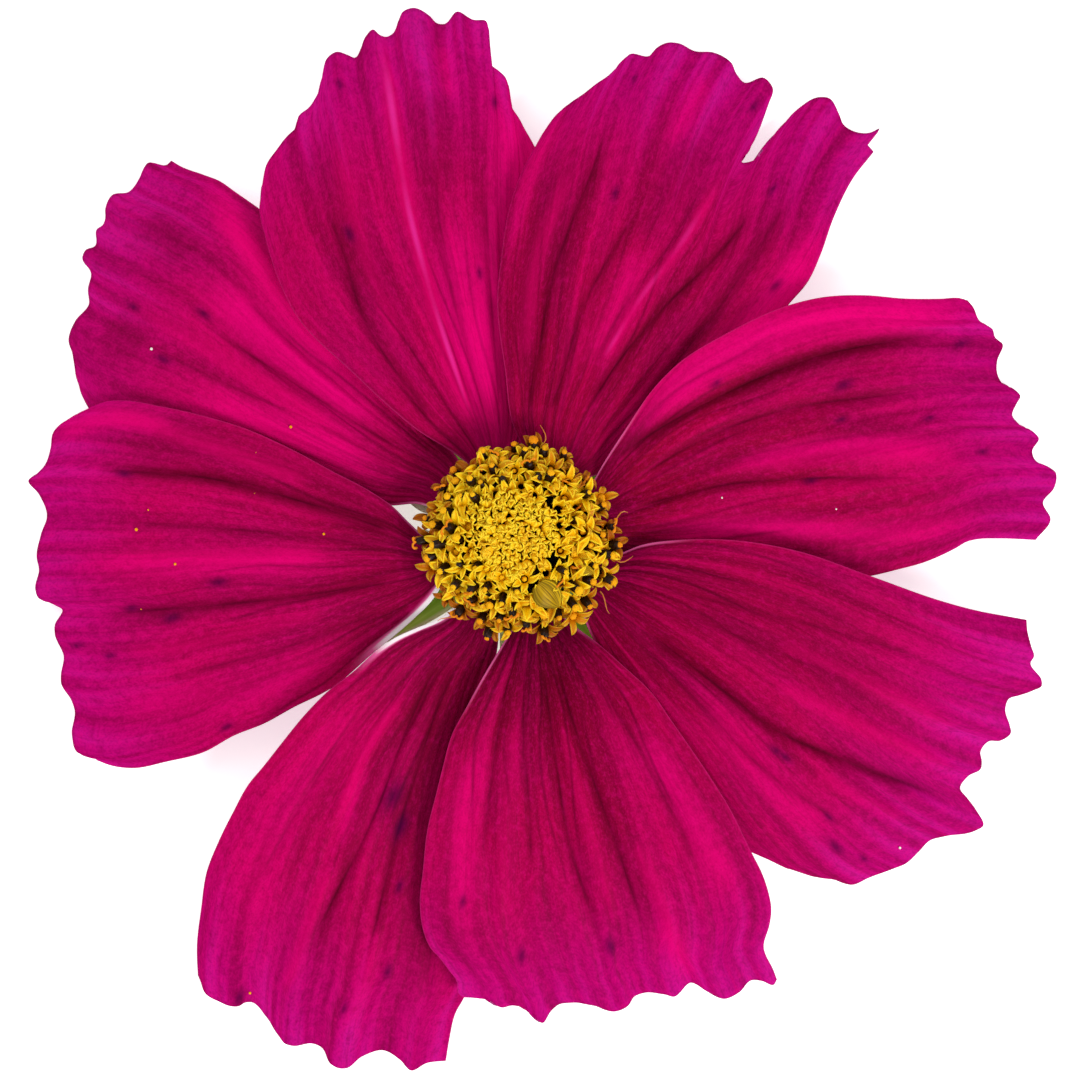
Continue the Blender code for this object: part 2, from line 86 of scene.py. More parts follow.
# angle is the way the claw points. left and right are the side edges from the claw outwards, left being the
# anticlockwise one, and tip is the toothed end from left to right. lift says whether each side edge lies
# over (1) or under (-1) the petal it meets. pinkness and claw_shade run from 0 to 1; claw_shade darkens the
# blade near the disc, partly the claw's own deep colour and partly painted shadow of the disc, which is
# strongest on the petals below it. pale_edges are painted highlights on the rims of the left and right
# edges, where they curl and catch the light: width, how pale, and the distance from the axis where it ends.
# A fold is (height, half width, points along it), with a ridge above 0 and a valley below; its colour is
# painted shade in the valley and painted highlight on the ridge. A flush is (strength, half width, points
# along it), brighter pink above 0 and duskier red below: partly the petal's own patchy colour, partly
# painted light that lifts shadows cast by overlapping petals, and partly painted shadow. A bruise is (x, y,
# radius).
PETALS = {
    "petal_top": {
        "angle": 110, "lift": (1, -1), "tip_z": 0.9, "seed": 1,
        "pinkness": 0.8, "claw_shade": 0.1, "pale_edges": ((0.1, 0.5, 8.5), (0.1, 0, 8)),
        "left": [
            (-3.5, 5), (-7.1, 7.5), (-11.1, 11.1), (-14.9, 15), (-15.9, 17), (-16.9, 20.1), (-17.3, 22),
        ],
        "tip": [
            (-17.2, 23), (-16.8, 25), (-16.2, 25.9), (-15.4, 26.9), (-15, 27.3), (-14.7, 28.2), (-14, 28.8),
            (-13.6, 29.4), (-13.1, 31.2), (-12.9, 32), (-12.2, 32.5), (-11.5, 32.3), (-11, 32.1),
            (-10.6, 32.7), (-10.3, 33.5), (-9.8, 34), (-9.3, 33.6), (-8.9, 33.5), (-8.5, 33.7),
            (-8.1, 34.6), (-7.8, 35.2), (-7.2, 35.45), (-6, 34.9), (-5.5, 34.4), (-5.1, 34.35),
            (-4.2, 35.2), (-3.1, 34.65), (-2.3, 34.6), (-2.15, 33.3), (-1.9, 31.6), (-1.4, 31.2),
            (-1, 30.8), (-0.8, 30.2), (-0.8, 29.5), (-0.6, 28.9), (0, 27.9), (1, 26.1),
        ],
        "right": [(0.3, 7), (1, 12), (1.6, 18), (1.8, 23)],
        "folds": [
            (0.34, 0.55, [(-10.2, 36), (-9.3, 33), (-8.1, 26), (-7.4, 22), (-6.1, 17), (-3.2, 8)]),
            (-0.22, 0.50, [(-13.5, 23), (-12, 20), (-10.5, 15), (-6, 8)]),
            (-0.14, 0.45, [(-5.9, 28), (-5.2, 20), (-3.4, 12), (-2.2, 8)]),
            (-0.14, 0.40, [(-2.4, 26), (-2.1, 19), (-1.6, 12), (-1.3, 8)]),
            (0.16, 0.45, [(-1.6, 23), (-1.5, 16)]),
            (0.16, 0.60, [(-12.5, 28), (-11, 21), (-8, 13)]),
        ],
        "tones_and_painted_lights": [
            (1, 1.7, [(-1.2, 29.5), (0.3, 24.5), (-0.4, 19), (-2, 13), (-1.8, 7)]),
            (0.6, 1.3, [(-4.2, 21), (-4.2, 16), (-3.4, 10)]),
            (-0.6, 1.5, [(-6.4, 30), (-5.6, 26.5), (-5.2, 23)]),
            (-0.4, 1.5, [(-13.5, 27), (-12, 22), (-9, 15)]),
            (0.5, 0.6, [(-5.2, 33), (-4.6, 29)]),
        ],
        "bruises": [(-12, 30.3, 0.3), (-1.7, 29.1, 0.3), (-11.3, 20.3, 0.45), (-2.7, 17.7, 0.3)],
    },
    "petal_top_right": {
        "angle": 62, "lift": (1, -1), "tip_z": -0.3, "seed": 2,
        "pinkness": 0.25, "claw_shade": 0.2, "pale_edges": ((0.1, 0, 8), (0.1, 0.5, 8)),
        "left": [(-0.3, 7.2), (-1, 11.3), (-1.5, 16), (-1.2, 19), (-0.7, 22), (0.2, 24.6), (1, 26.1)],
        "tip": [
            (1.5, 27), (2.2, 28), (3, 28.8), (4, 29.5), (5, 30.3), (6.1, 31.1), (6.8, 31.9), (7.3, 32.35),
            (8.6, 32.25), (9.1, 32.8), (9.8, 33.15), (10.6, 33.1), (11.6, 32.6), (12.9, 32.5), (13.6, 32.2),
            (14.1, 31.8), (14.4, 31.1), (14.9, 30.5), (16.3, 30.8), (16.85, 30.1), (16.6, 29.2),
            (16.1, 27.8), (15.6, 26.6), (14.8, 25.1), (15.6, 25.3), (16.2, 26.1), (16.9, 27), (17.8, 28),
            (18.7, 28.9), (19.9, 29.55), (20.6, 29.5), (21.3, 28.4), (21.6, 27.7), (22, 27.4), (23.4, 27.2),
            (24, 27.5), (23, 26.75), (23.6, 25.9),
        ],
        "right": [
            (5.5, 4.5), (8, 6.5), (12.5, 10), (16, 13.3), (17.9, 15.7), (19.1, 17.1), (20, 19),
            (20.9, 21.5), (22.4, 24.4), (23.2, 25.4),
        ],
        "folds": [
            (-0.26, 0.50, [(6, 28.5), (5.1, 25.3), (3.5, 21.3), (2.1, 17.1), (1.1, 11.5), (0.6, 8.5)]),
            (-0.22, 0.45, [(8.2, 22.5), (6.2, 19.3), (4.1, 15.2), (3, 11.5), (2, 8.5)]),
            (-0.28, 0.50, [(16.2, 23.2), (14.5, 20.6), (12.6, 18.4), (9.9, 15.8), (6.3, 11.5), (4.6, 9)]),
            (-0.12, 0.30, [(13, 25), (9.5, 19), (7.6, 16.5), (4.6, 11.5)]),
            (0.27, 0.35, [(13.8, 24.8), (10.2, 19), (8.3, 16.5), (5.5, 12)]),
            (0.18, 0.60, [(4, 26), (1, 18), (0.5, 12)]),
            (-0.14, 0.60, [(19, 24.5), (15.2, 18.4), (11.6, 13.2), (8, 9)]),
        ],
        "tones_and_painted_lights": [
            (1, 1.1, [(20, 20.5), (17.4, 16.6), (13.4, 12.4), (8.8, 8.4), (6, 6)]),
            (0.4, 0.5, [(3, 28.5), (0.8, 24), (-0.6, 19)]),
            (-0.7, 1, [(3.2, 25.5), (1.4, 20.5), (0.3, 15), (0, 10)]),
            (-0.5, 1.3, [(12.4, 27), (9.8, 23), (8, 19.5)]),
            (-0.5, 0.9, [(17.5, 22), (14.5, 17), (10, 12.4)]),
            (0.5, 0.9, [(8, 19.5), (6.3, 15), (4.6, 11.5)]),
            (0.5, 0.7, [(12.5, 31), (10, 26)]),
        ],
        "bruises": [
            (6.3, 23, 0.35), (17, 16.9, 0.4), (7.6, 30.7, 0.25), (15.6, 28.9, 0.3), (16.8, 23.3, 0.3),
        ],
    },
    "petal_right": {
        "angle": 18, "lift": (1, -1), "tip_z": -0.2, "seed": 3,
        "pinkness": 0.1, "claw_shade": 0.4, "pale_edges": ((0.12, 0.5, 13), (0.1, 0.4, 8)),
        "left": [
            (5.2, 4.5), (7.1, 7.5), (8.9, 10.1), (10.5, 11.7), (13.7, 13.7), (17.9, 15.6), (20, 16.1),
            (23, 16.25), (25.5, 16.05), (28, 16.05), (29.3, 16.1),
        ],
        "tip": [
            (29.8, 15.95), (30.1, 15.6), (30.6, 14.6), (31.5, 14), (31.6, 13.6), (32.15, 13.05), (31.8, 12),
            (31.75, 11.3), (32, 10.6), (32.9, 10.05), (33.35, 9.6), (33.1, 9.1), (32.8, 8.3), (33.3, 7.7),
            (34, 7.35), (34.6, 6.8), (34.15, 5.9), (34.3, 5.4), (35.4, 4.8), (35.75, 4.5), (35.8, 4.1),
            (35.65, 3.5), (34.9, 2.5), (35.4, 1.4), (34.4, 0),
        ],
        "right": [
            (6.5, -0.8), (10, -1.8), (15, -2.5), (20, -2.8), (23.3, -2.4), (25, -2), (27, -1.45),
            (29, -0.55), (29.8, -0.1), (30.5, 0.05), (32, 0.1),
        ],
        "folds": [
            (-0.36, 0.55, [(29.5, 14), (25.1, 13.3), (19.1, 12), (13.2, 9.5), (8, 6.6), (6.6, 5.6)]),
            (-0.22, 0.45, [(27.5, 9.9), (23.1, 9.5), (17.7, 8.7), (12.3, 6.8), (8, 4.3)]),
            (-0.10, 0.35, [(29, 7.4), (22, 6.9), (13.7, 5.2), (8.5, 3.3)]),
            (-0.24, 0.45, [(27, 4.1), (19.1, 4.1), (13.2, 3.6), (8, 2.3)]),
            (0.16, 0.70, [(31.5, 4.5), (26, 5.6), (16, 4.8)]),
        ],
        "tones_and_painted_lights": [
            (1, 1.2, [(30, 15.2), (26, 15.1), (20, 14.6), (15, 12.9), (11.5, 10.9), (7.5, 7.4)]),
            (0.7, 0.8, [(28, 6.1), (18.4, 6.1), (14, 4.9)]),
            (0.7, 0.8, [(30, 1.4), (24, 0.4), (18, 0.9), (9, 0.6)]),
            (-0.5, 1, [(25, 12), (19, 11.2), (13, 8.4)]),
            (-0.4, 0.9, [(25, 8.2), (18, 7.6), (12, 5.6)]),
        ],
        "bruises": [
            (21.5, 10.3, 0.5), (21.3, 8, 0.3), (27.2, 8.1, 0.3), (19.3, 3.9, 0.35), (30.8, 5.9, 0.3),
            (29.4, 13.1, 0.4), (13, 10.4, 0.3),
        ],
    },
    "petal_bottom_right": {
        "angle": -29, "lift": (1, -1), "tip_z": 0.4, "seed": 4,
        "pinkness": 0.3, "claw_shade": 0.6, "pale_edges": ((0.13, 0.6, 12), (0.15, 0.9, 9)),
        "left": [
            (6.6, -0.9), (8, -0.35), (10.5, 0), (14, 0), (18.3, -0.7), (23.3, -2.4), (28, -4.05),
            (30, -4.6),
        ],
        "tip": [
            (33.7, -5.3), (33.75, -6), (34, -7), (34.2, -7.8), (34, -8.1), (34.75, -9.4), (34.75, -9.7),
            (34.2, -10), (33.2, -10.35), (32.5, -10.6), (32.3, -11.2), (32.6, -12.3), (32.7, -12.8),
            (32, -13.35), (31.2, -13.4), (30.65, -14.1), (30.75, -14.7), (30.7, -15.2), (29.8, -15.75),
            (29.3, -16.5), (29.8, -17.2), (30.4, -18), (30.85, -19.1), (30.4, -19.35), (28.3, -19.75),
            (27.3, -20), (26.6, -20.7), (25.6, -21.6), (24.8, -21.9), (23.2, -22.5), (22.1, -22.95),
            (21, -22.6), (20, -22.5), (19, -22.2), (18, -21.9), (17.2, -21.5), (16.3, -21.1),
            (15.4, -20.75),
        ],
        "right": [(4.4, -5.6), (6, -8.6), (9, -13), (12, -17.8), (14.2, -20.2)],
        "folds": [
            (-0.32, 0.50, [(30, -17.7), (23, -15.2), (17, -12.6), (12, -8.8), (8.5, -6.2)]),
            (0.20, 0.60, [(30, -15.5), (24, -13), (17, -9.5)]),
            (0.18, 0.60, [(30, -13), (25, -10.5), (17, -7)]),
            (-0.15, 0.45, [(28, -8.2), (20, -5.8), (12, -3.8), (8.5, -2.9)]),
            (-0.12, 0.40, [(24, -10.2), (16, -7), (10, -4.6)]),
            (-0.15, 0.40, [(22.5, -19.5), (16.5, -15.5), (11, -10), (8, -7.2)]),
            (0.16, 0.60, [(26, -18.8), (19.5, -15.6)]),
        ],
        "tones_and_painted_lights": [
            (0.5, 1.1, [(20.5, -19.5), (16.5, -15.8), (12, -10.6)]),
            (-0.5, 1.5, [(25, -11), (18, -7.4), (10, -4.2)]),
            (-0.4, 1.2, [(24, -6.2), (16, -3.2), (9, -1.8)]),
        ],
        "bruises": [
            (20.5, -18.4, 0.3), (21, -20.4, 0.45), (22.9, -21.2, 0.25), (17, -14, 0.4), (17.6, -14.4, 0.4),
        ],
    },
    "petal_bottom": {
        "angle": -76, "lift": (1, 1), "tip_z": 0.6, "seed": 5,
        "pinkness": 0.2, "claw_shade": 1, "pale_edges": ((0.15, 0.9, 9), (0.12, 0.55, 13)),
        "left": [
            (4, -6), (4.7, -6.5), (6.8, -8.3), (8.8, -10.2), (10, -11.9), (12, -14.8), (13.8, -17.6),
            (15.4, -20.8), (16.1, -22.2), (16.5, -23.4), (16.7, -24.5), (16.6, -25.5), (16.2, -27.05),
            (16.9, -28.7),
        ],
        "tip": [
            (17.1, -29.25), (16.9, -29.6), (16.1, -29.35), (15.4, -29.3), (14.6, -30.1), (13.6, -30.55),
            (12.4, -30), (11.4, -29.45), (10.2, -30.4), (9.6, -30.25), (8.2, -30.15), (7.6, -30.4),
            (7.2, -31), (6.3, -31.4), (4.9, -31), (3.5, -30.8), (2.6, -30.9), (2.1, -31.3), (1.5, -32.15),
            (0.5, -31.3), (-0.5, -30.95), (-1.2, -31.1), (-2.3, -30.55), (-3.7, -30.4),
        ],
        "right": [
            (-1.2, -7), (-1.5, -7.5), (-2.4, -9), (-3.5, -11), (-4.55, -13), (-5.1, -15), (-5.6, -17),
            (-6.1, -19), (-6.45, -22), (-6.65, -24), (-6.4, -26), (-6, -27), (-5.3, -27.8), (-4.7, -28.6),
            (-4.2, -29.3), (-4.05, -30.2),
        ],
        "folds": [
            (-0.24, 0.45, [(5.6, -28), (4.8, -25), (3.5, -21), (2, -12), (1.4, -8)]),
            (-0.24, 0.45, [(9, -28), (6.3, -20), (3.5, -12), (2.3, -8)]),
            (-0.18, 0.40, [(0.8, -23), (0.6, -18), (0.2, -12), (0.3, -8)]),
            (-0.15, 0.35, [(-2.6, -22), (-1.8, -15), (-0.8, -9)]),
            (-0.15, 0.40, [(12.5, -23), (10.5, -19), (8, -14), (4.5, -8.5)]),
            (0.18, 0.55, [(11, -29), (10, -26), (7.6, -20)]),
            (0.16, 0.50, [(6.8, -27), (4.8, -20), (2.6, -12)]),
            (0.14, 0.60, [(-1.5, -28), (-1, -20), (-0.4, -12)]),
        ],
        "tones_and_painted_lights": [
            (0.6, 0.9, [(14, -23.5), (11.2, -18), (8, -12.8)]),
            (0.5, 1.1, [(-3.9, -26), (-3.8, -19), (-2.8, -13.5)]),
            (0.4, 0.9, [(11.5, -29), (9, -25.5)]),
        ],
        "bruises": [(-3.8, -24, 0.35), (0.1, -27.6, 0.4), (6, -27, 0.45)],
    },
    "petal_bottom_left": {
        "angle": -120, "lift": (-1, 1), "tip_z": -0.4, "seed": 6,
        "pinkness": 0.6, "claw_shade": 0.7, "pale_edges": ((0.1, 0, 8), (0.26, 1, 14.5)),
        "left": [
            (-1.5, -7.2), (-1.9, -9), (-2.6, -14), (-3, -22), (-3.2, -28), (-3.7, -30.4), (-4.3, -31.5),
            (-4.7, -33.2),
        ],
        "tip": [
            (-4.95, -34.75), (-6.2, -34.9), (-7.3, -35.4), (-8, -34.7), (-9.1, -34.05), (-10.6, -34.5),
            (-11.6, -35.25), (-12.1, -35.25), (-12.6, -35), (-13.3, -33.8), (-13.8, -33.6), (-15.2, -33.75),
            (-15.7, -33.6), (-16.1, -33.1), (-17, -31.7), (-17.9, -30.8), (-18.4, -30.85), (-18.7, -31.05),
            (-19.4, -31.05), (-20, -30.8), (-20.9, -30.3), (-21.45, -29),
        ],
        "right": [
            (-5.3, -5.2), (-7, -5.9), (-8.3, -6.5), (-9.4, -7.25), (-11, -8.7), (-12.7, -10), (-14, -11.3),
            (-15.9, -13.6), (-17, -15), (-18, -16.2), (-19, -18), (-20, -20), (-20.8, -22), (-21.2, -24.5),
            (-21.5, -27), (-21.5, -28),
        ],
        "folds": [
            (-0.26, 0.50, [(-15, -29), (-12.5, -24), (-9.5, -18), (-7.5, -12.5), (-5.5, -8)]),
            (-0.24, 0.45, [(-11, -30), (-10, -27), (-8.3, -20), (-5.8, -12), (-4.5, -8)]),
            (0.22, 0.50, [(-12.6, -19), (-11.5, -17), (-10.8, -15), (-8, -10.5)]),
            (0.18, 0.45, [(-11.5, -24.5), (-10.3, -21), (-9.3, -18), (-7, -12.5)]),
            (0.20, 0.60, [(-16, -31), (-14.5, -27), (-12.6, -22)]),
            (0.16, 0.50, [(-12, -33.5), (-11, -31), (-9.5, -26)]),
            (-0.12, 0.45, [(-19, -26), (-16, -20), (-11.5, -13), (-7.5, -8.4)]),
            (-0.18, 0.50, [(-6.5, -32), (-5.8, -26), (-4.6, -18), (-3.4, -10)]),
        ],
        "tones_and_painted_lights": [
            (0.4, 1.3, [(-18.5, -26), (-17, -21), (-14, -15.5), (-10, -10.5)]),
            (0.5, 0.5, [(-11.8, -20), (-11, -17), (-10.2, -15)]),
            (-0.7, 1.6, [(-7, -29), (-6.6, -22), (-5.6, -15), (-4.6, -10)]),
            (-0.3, 1.2, [(-14, -28), (-12.2, -24)]),
        ],
        "bruises": [
            (-7.9, -19, 0.7), (-8, -23, 0.35), (-8.8, -28.7, 0.4), (-11.7, -31.2, 0.3),
            (-18.7, -30.5, 0.35), (-8.4, -17, 0.8),
        ],
    },
    "petal_left": {
        "angle": 190, "lift": (-1, 1), "tip_z": 0.5, "seed": 7,
        "pinkness": 0.7, "claw_shade": 0.6, "pale_edges": ((0.38, 1, 14.5), (0.14, 0.9, 9.5)),
        "left": [
            (-6, -4.2), (-6.9, -5.1), (-7.9, -6), (-9.5, -7.3), (-12.7, -9.95), (-15, -11.1), (-17, -12.2),
            (-19, -13), (-21, -14.1), (-23.5, -14.75), (-25.8, -15.2), (-27.4, -15),
        ],
        "tip": [
            (-28.2, -14.7), (-28.8, -14.25), (-29.5, -14.2), (-29.9, -13), (-29.7, -11.3), (-29.9, -10.7),
            (-30.6, -9.5), (-30.6, -9), (-30.4, -7.8), (-31, -6.2), (-31, -5.7), (-30.5, -4.6), (-31, -4.3),
            (-32.15, -3.8), (-32.3, -3.3), (-32.05, -1.9), (-32.2, -1.2), (-31.9, 0.4), (-31.5, 1.6),
            (-32, 3), (-32.75, 4), (-32.1, 4.5), (-31.7, 4.9), (-31.25, 6.1), (-31.1, 7.1), (-30, 8.1),
            (-28.7, 8.75),
        ],
        "right": [
            (-6.3, 0.3), (-7.3, 1.1), (-8.4, 2.2), (-9.7, 3.1), (-12.5, 4.6), (-15.5, 6.2), (-18.5, 7.5),
            (-20.5, 8.1), (-22.5, 8.6), (-24, 8.9), (-26, 9.25), (-27.5, 9.2),
        ],
        "folds": [
            (-0.36, 0.60, [(-29, 4.7), (-20, 4), (-16, 3), (-12, 1.8), (-8.5, 0.6)]),
            (0.22, 0.60, [(-30, 7.6), (-27, 8), (-21, 6.4), (-14, 3.8)]),
            (-0.26, 0.55, [(-29, -5), (-24, -4.6), (-20, -4.3), (-12, -3.3), (-8.5, -2.6)]),
            (-0.16, 0.40, [(-25, -9.6), (-20, -8.3), (-14, -6.6), (-9, -4.6)]),
            (0.18, 0.60, [(-28, -1), (-20, -1.2), (-13, -1)]),
            (0.16, 0.60, [(-28, -7.6), (-20, -6.6), (-13, -4.8)]),
            (-0.12, 0.40, [(-29, 1.3), (-20, 0.8), (-12, 0), (-8.5, -0.7)]),
        ],
        "tones_and_painted_lights": [
            (0.7, 0.7, [(-31, 7), (-27, 8.2), (-23, 7.6)]),
            (0.6, 0.9, [(-29, -1.6), (-20, -1.6), (-12, -1.2)]),
            (0.4, 1.1, [(-27, -11.6), (-18, -9.8), (-12, -7.2)]),
            (-0.6, 1.2, [(-27, 5.8), (-21, 6.6), (-15, 4.8), (-9, 2)]),
        ],
        "bruises": [
            (-26.3, 4.4, 0.35), (-20, -2.8, 0.5), (-25.8, -4.5, 0.35), (-23.1, -5.2, 0.45),
            (-29.5, -7, 0.3), (-27.3, -7.7, 0.3), (-19.5, -12.4, 0.35),
        ],
    },
    "petal_top_left": {
        "angle": 148, "lift": (-1, -1), "tip_z": 0.8, "seed": 8,
        "pinkness": 0.8, "claw_shade": 0.35, "pale_edges": ((0.14, 0.9, 9.5), (0.1, 0.3, 8)),
        "left": [(-6.8, 2.4), (-8.4, 2.3), (-15, 3.6), (-22, 5.6), (-27.5, 7.6)],
        "tip": [
            (-28.7, 8.75), (-29, 9.3), (-29.5, 10.7), (-29.8, 12.4), (-30.05, 13.4), (-29.6, 14.6),
            (-28.7, 15.7), (-28.75, 16.8), (-28.55, 17.7), (-29.15, 18.9), (-28.95, 19.3), (-28.3, 19.6),
            (-28.2, 20.7), (-27.8, 21), (-27.65, 21.4), (-27.65, 22.1), (-27.2, 23), (-26.1, 23.2),
            (-25.4, 24.1), (-25.1, 24.8), (-24.9, 25.1), (-23.5, 25.05), (-23.25, 25.3),
        ],
        "right": [
            (-3.9, 5), (-6, 7.4), (-9.6, 11.4), (-13, 15.5), (-15.3, 19.5), (-17.3, 22), (-18, 22.5),
            (-19, 23.2), (-20, 23.9), (-21, 24.3), (-22.7, 24.95),
        ],
        "folds": [
            (0.22, 0.60, [(-21.5, 22.5), (-18.5, 19.8), (-16, 16.5), (-12, 11.8)]),
            (-0.18, 0.35, [(-21.5, 14.8), (-19.6, 13.4), (-16.2, 11.2), (-12.2, 8.6), (-8, 6)]),
            (-0.12, 0.35, [(-26.5, 13.8), (-20, 10.6), (-12, 7), (-8, 4.6)]),
            (0.18, 0.60, [(-27, 16.5), (-20, 12.2), (-12.5, 7.8)]),
            (-0.10, 0.35, [(-19, 16.6), (-14.5, 12.4), (-10.5, 9)]),
            (-0.10, 0.40, [(-23, 8.6), (-17, 6.6), (-11, 4.6)]),
        ],
        "tones_and_painted_lights": [
            (1, 1.6, [(-21, 17), (-17.5, 14.2), (-13.5, 10.8), (-9.5, 7.6)]),
            (1, 0.9, [(-20.5, 23.5), (-18, 19.6), (-15.2, 15.6), (-12, 11.6)]),
            (0.8, 1.2, [(-22, 9.6), (-15, 7.2), (-9.5, 5)]),
            (-0.6, 1.8, [(-27.5, 14.5), (-25, 12.6)]),
            (-0.5, 1.6, [(-25, 21.5), (-22, 18.6)]),
        ],
        "bruises": [(-23.7, 12, 0.4), (-21, 15, 0.4), (-25.7, 15.5, 0.3)],
    },
}

# Bracts: foot (radius, height), length, width, which share of the length is widest, thickness, and
# how far they have risen at each share of the length.
OUTER_BRACT = {
    "foot": (3.1, 2.05), "length": 10.0, "width": 2.3, "widest": 0.3, "thickness": 0.22,
    "rise": lambda t: 0.9 * t - 1.9 * t * t,
}
INNER_BRACT = {
    "foot": (4.87, 3.2), "length": 5.4, "width": 3.6, "widest": 0.35, "thickness": 0.12,
    "rise": lambda t: 0.55 * t,
}

# Disc. The florets stand in a golden-angle spiral, closed buds in the middle and open ones round
# them, each one leaning out from its foot on the receptacle.
BUD_COUNT = 74
BUD_FIELD_RADIUS = 2.7
OPEN_COUNT = 106
DISC_RADIUS = 6.2
DISC_TOP_Z = 9.9
DISC_FALL = 0.055
RECEPTACLE_Z = 6.0
FOOT_SHARE = 0.74
SPIRAL_CENTRE = (-0.4, 0.5)
COROLLA_KINDS = 8
TUBE_SHARE = 0.3
LOBE_TROUGH = 0.18
BUD_WALL = 0.08
COROLLA_WALL = 0.07
PALEA_THICKNESS = 0.05
STYLE_ARM_THICKNESS = 0.15
STYLE_ARM_STEPS = 10
RIM_HAIR_THICKNESS = 0.09
ANTHER_TOP = 1.1
TUBE_LEAN = 0.32
TUBE_CHANCE = 0.76
KNOB_KINDS = 4
POLLEN_KNOB_RADIUS = 0.28
KNOB_CHANCE = 0.7
FLORET_SEED = 7
# Ages, from 0 in the middle to 1 at the rim: up to when a floret is still opening or open, and from
# when it may have an anther tube or style arms.
OPENING_UNTIL, OPEN_UNTIL = 0.60, 0.84
TUBE_FROM, ARMS_FROM = 0.54, 0.66
RIM_HAIR_START = 6.3
RIM_HAIR_ANGLES = (79, 12, -9, -36, 228)
# The scales that lie out over the florets: foot, tip and width.
BROAD_PALEAE = (
    ((1.2, -2.9, 9.75), (2.6, -4.4, 9.65), 1.9),
    ((3.9, -1.8, 9.1), (4.9, -2.2, 9.0), 0.7),
)

# Loose pollen grains and pale specks of dust that have dropped on the petals: (x, y, radius).
DROPPED_POLLEN = [
    (-15.2, 7.5, 0.10), (-24.7, 2.0, 0.06), (-25.5, 0.7, 0.11), (-22.9, -1.6, 0.09), (-17.5, 5.8, 0.03),
    (-13.0, 0.4, 0.09), (-25.2, -4.6, 0.05), (-17.6, 3.1, 0.03), (-18.0, -30.2, 0.09),
]
PALE_SPECKS = [(13.4, 2.8, 0.07), (21.0, 2.05, 0.06), (25.3, -20.5, 0.09), (-24.5, 12.7, 0.10)]
GRAIN_REACH = 0.4

# Floor, light and camera. The floor's half width is in metres.
FLOOR_HALF_WIDTH = 1.5
FLOOR_GLOW = 0.55
WORLD_STRENGTH = 0.68
VIEW_WIDTH = 72.0
VIEW_CENTRE = (1.33, 0.0)
CAMERA_LENS = 400.0
CAMERA_SENSOR = 36.0


def linear(hex_colour):
    """The linear colour of an sRGB hex value."""
    parts = [int(hex_colour[k : k + 2], 16) / 255 for k in (1, 3, 5)]
    return tuple(c / 12.92 if c <= 0.04045 else ((c + 0.055) / 1.055) ** 2.4 for c in parts) + (1.0,)


def add_node(material, kind, settings=None, **inputs):
    """Adds a shader node with its settings, and sets or links its inputs, by name or as i and a number."""
    tree = material.node_tree
    node = tree.nodes.new(kind)
    for name, value in (settings or {}).items():
        setattr(node, name, value)
    for key, value in inputs.items():
        by_number = key[0] == "i" and key[1:].isdigit()
        socket = node.inputs[int(key[1:])] if by_number else node.inputs[key.replace("_", " ")]
        if isinstance(value, bpy.types.NodeSocket):
            tree.links.new(value, socket)
        else:
            socket.default_value = value
    return node


def painted(material, colour, values, layers):
    """colour with layers over it. A layer is (which value, where it starts to show, where it shows
    most, how much of it shows there, its colour)."""
    for key, start, full, most, over in layers:
        share = add_node(
            material, "ShaderNodeMapRange", Value=values[key], From_Min=start, From_Max=full, To_Max=most
        )
        blend = add_node(
            material, "ShaderNodeMix", {"data_type": "RGBA"}, i0=share.outputs["Result"], i6=colour,
            i7=linear(over),
        )
        colour = blend.outputs[2]
    return colour


def new_material(name, *attributes):
    """A material that isn't shaded yet, and the values that it reads from the mesh's attributes."""
    material = bpy.data.materials.new(name)
    material.use_nodes = True
    material.node_tree.nodes.clear()
    values = {}
    for key in attributes:
        values[key] = add_node(material, "ShaderNodeAttribute", {"attribute_name": key}).outputs["Fac"]
    return material, values


def add_patterns(material, values, where, patterns):
    """Adds patterns of noise to values. A pattern is its repeats along each axis, and its detail."""
    for key, (repeats, detail) in patterns.items():
        stretched = add_node(material, "ShaderNodeMapping", Vector=where, Scale=repeats).outputs[0]
        noise = add_node(material, "ShaderNodeTexNoise", Vector=stretched, Scale=1.0, Detail=detail)
        values[key] = noise.outputs["Fac"]


def finish_tissue(material, colour, translucency, relief=None, **surface):
    """Ends the material as thin tissue, which lets a share of the light through in its own colour.
    relief is the height of fine relief on it, the relief's depth in metres, and its strength."""
    if relief:
        height, depth, strength = relief
        bump = add_node(material, "ShaderNodeBump", Strength=strength, Distance=depth, Height=height)
        surface["Normal"] = bump.outputs[0]
    shader = add_node(material, "ShaderNodeBsdfPrincipled", Base_Color=colour, **surface)
    through = add_node(material, "ShaderNodeBsdfTranslucent", Color=colour)
    both = add_node(
        material, "ShaderNodeMixShader", i0=translucency, i1=shader.outputs[0], i2=through.outputs[0]
    )
    add_node(material, "ShaderNodeOutputMaterial", Surface=both.outputs[0])
    return material


def smoothstep(x):
    t = np.clip(x, 0.0, 1.0)
    return t * t * (3 - 2 * t)


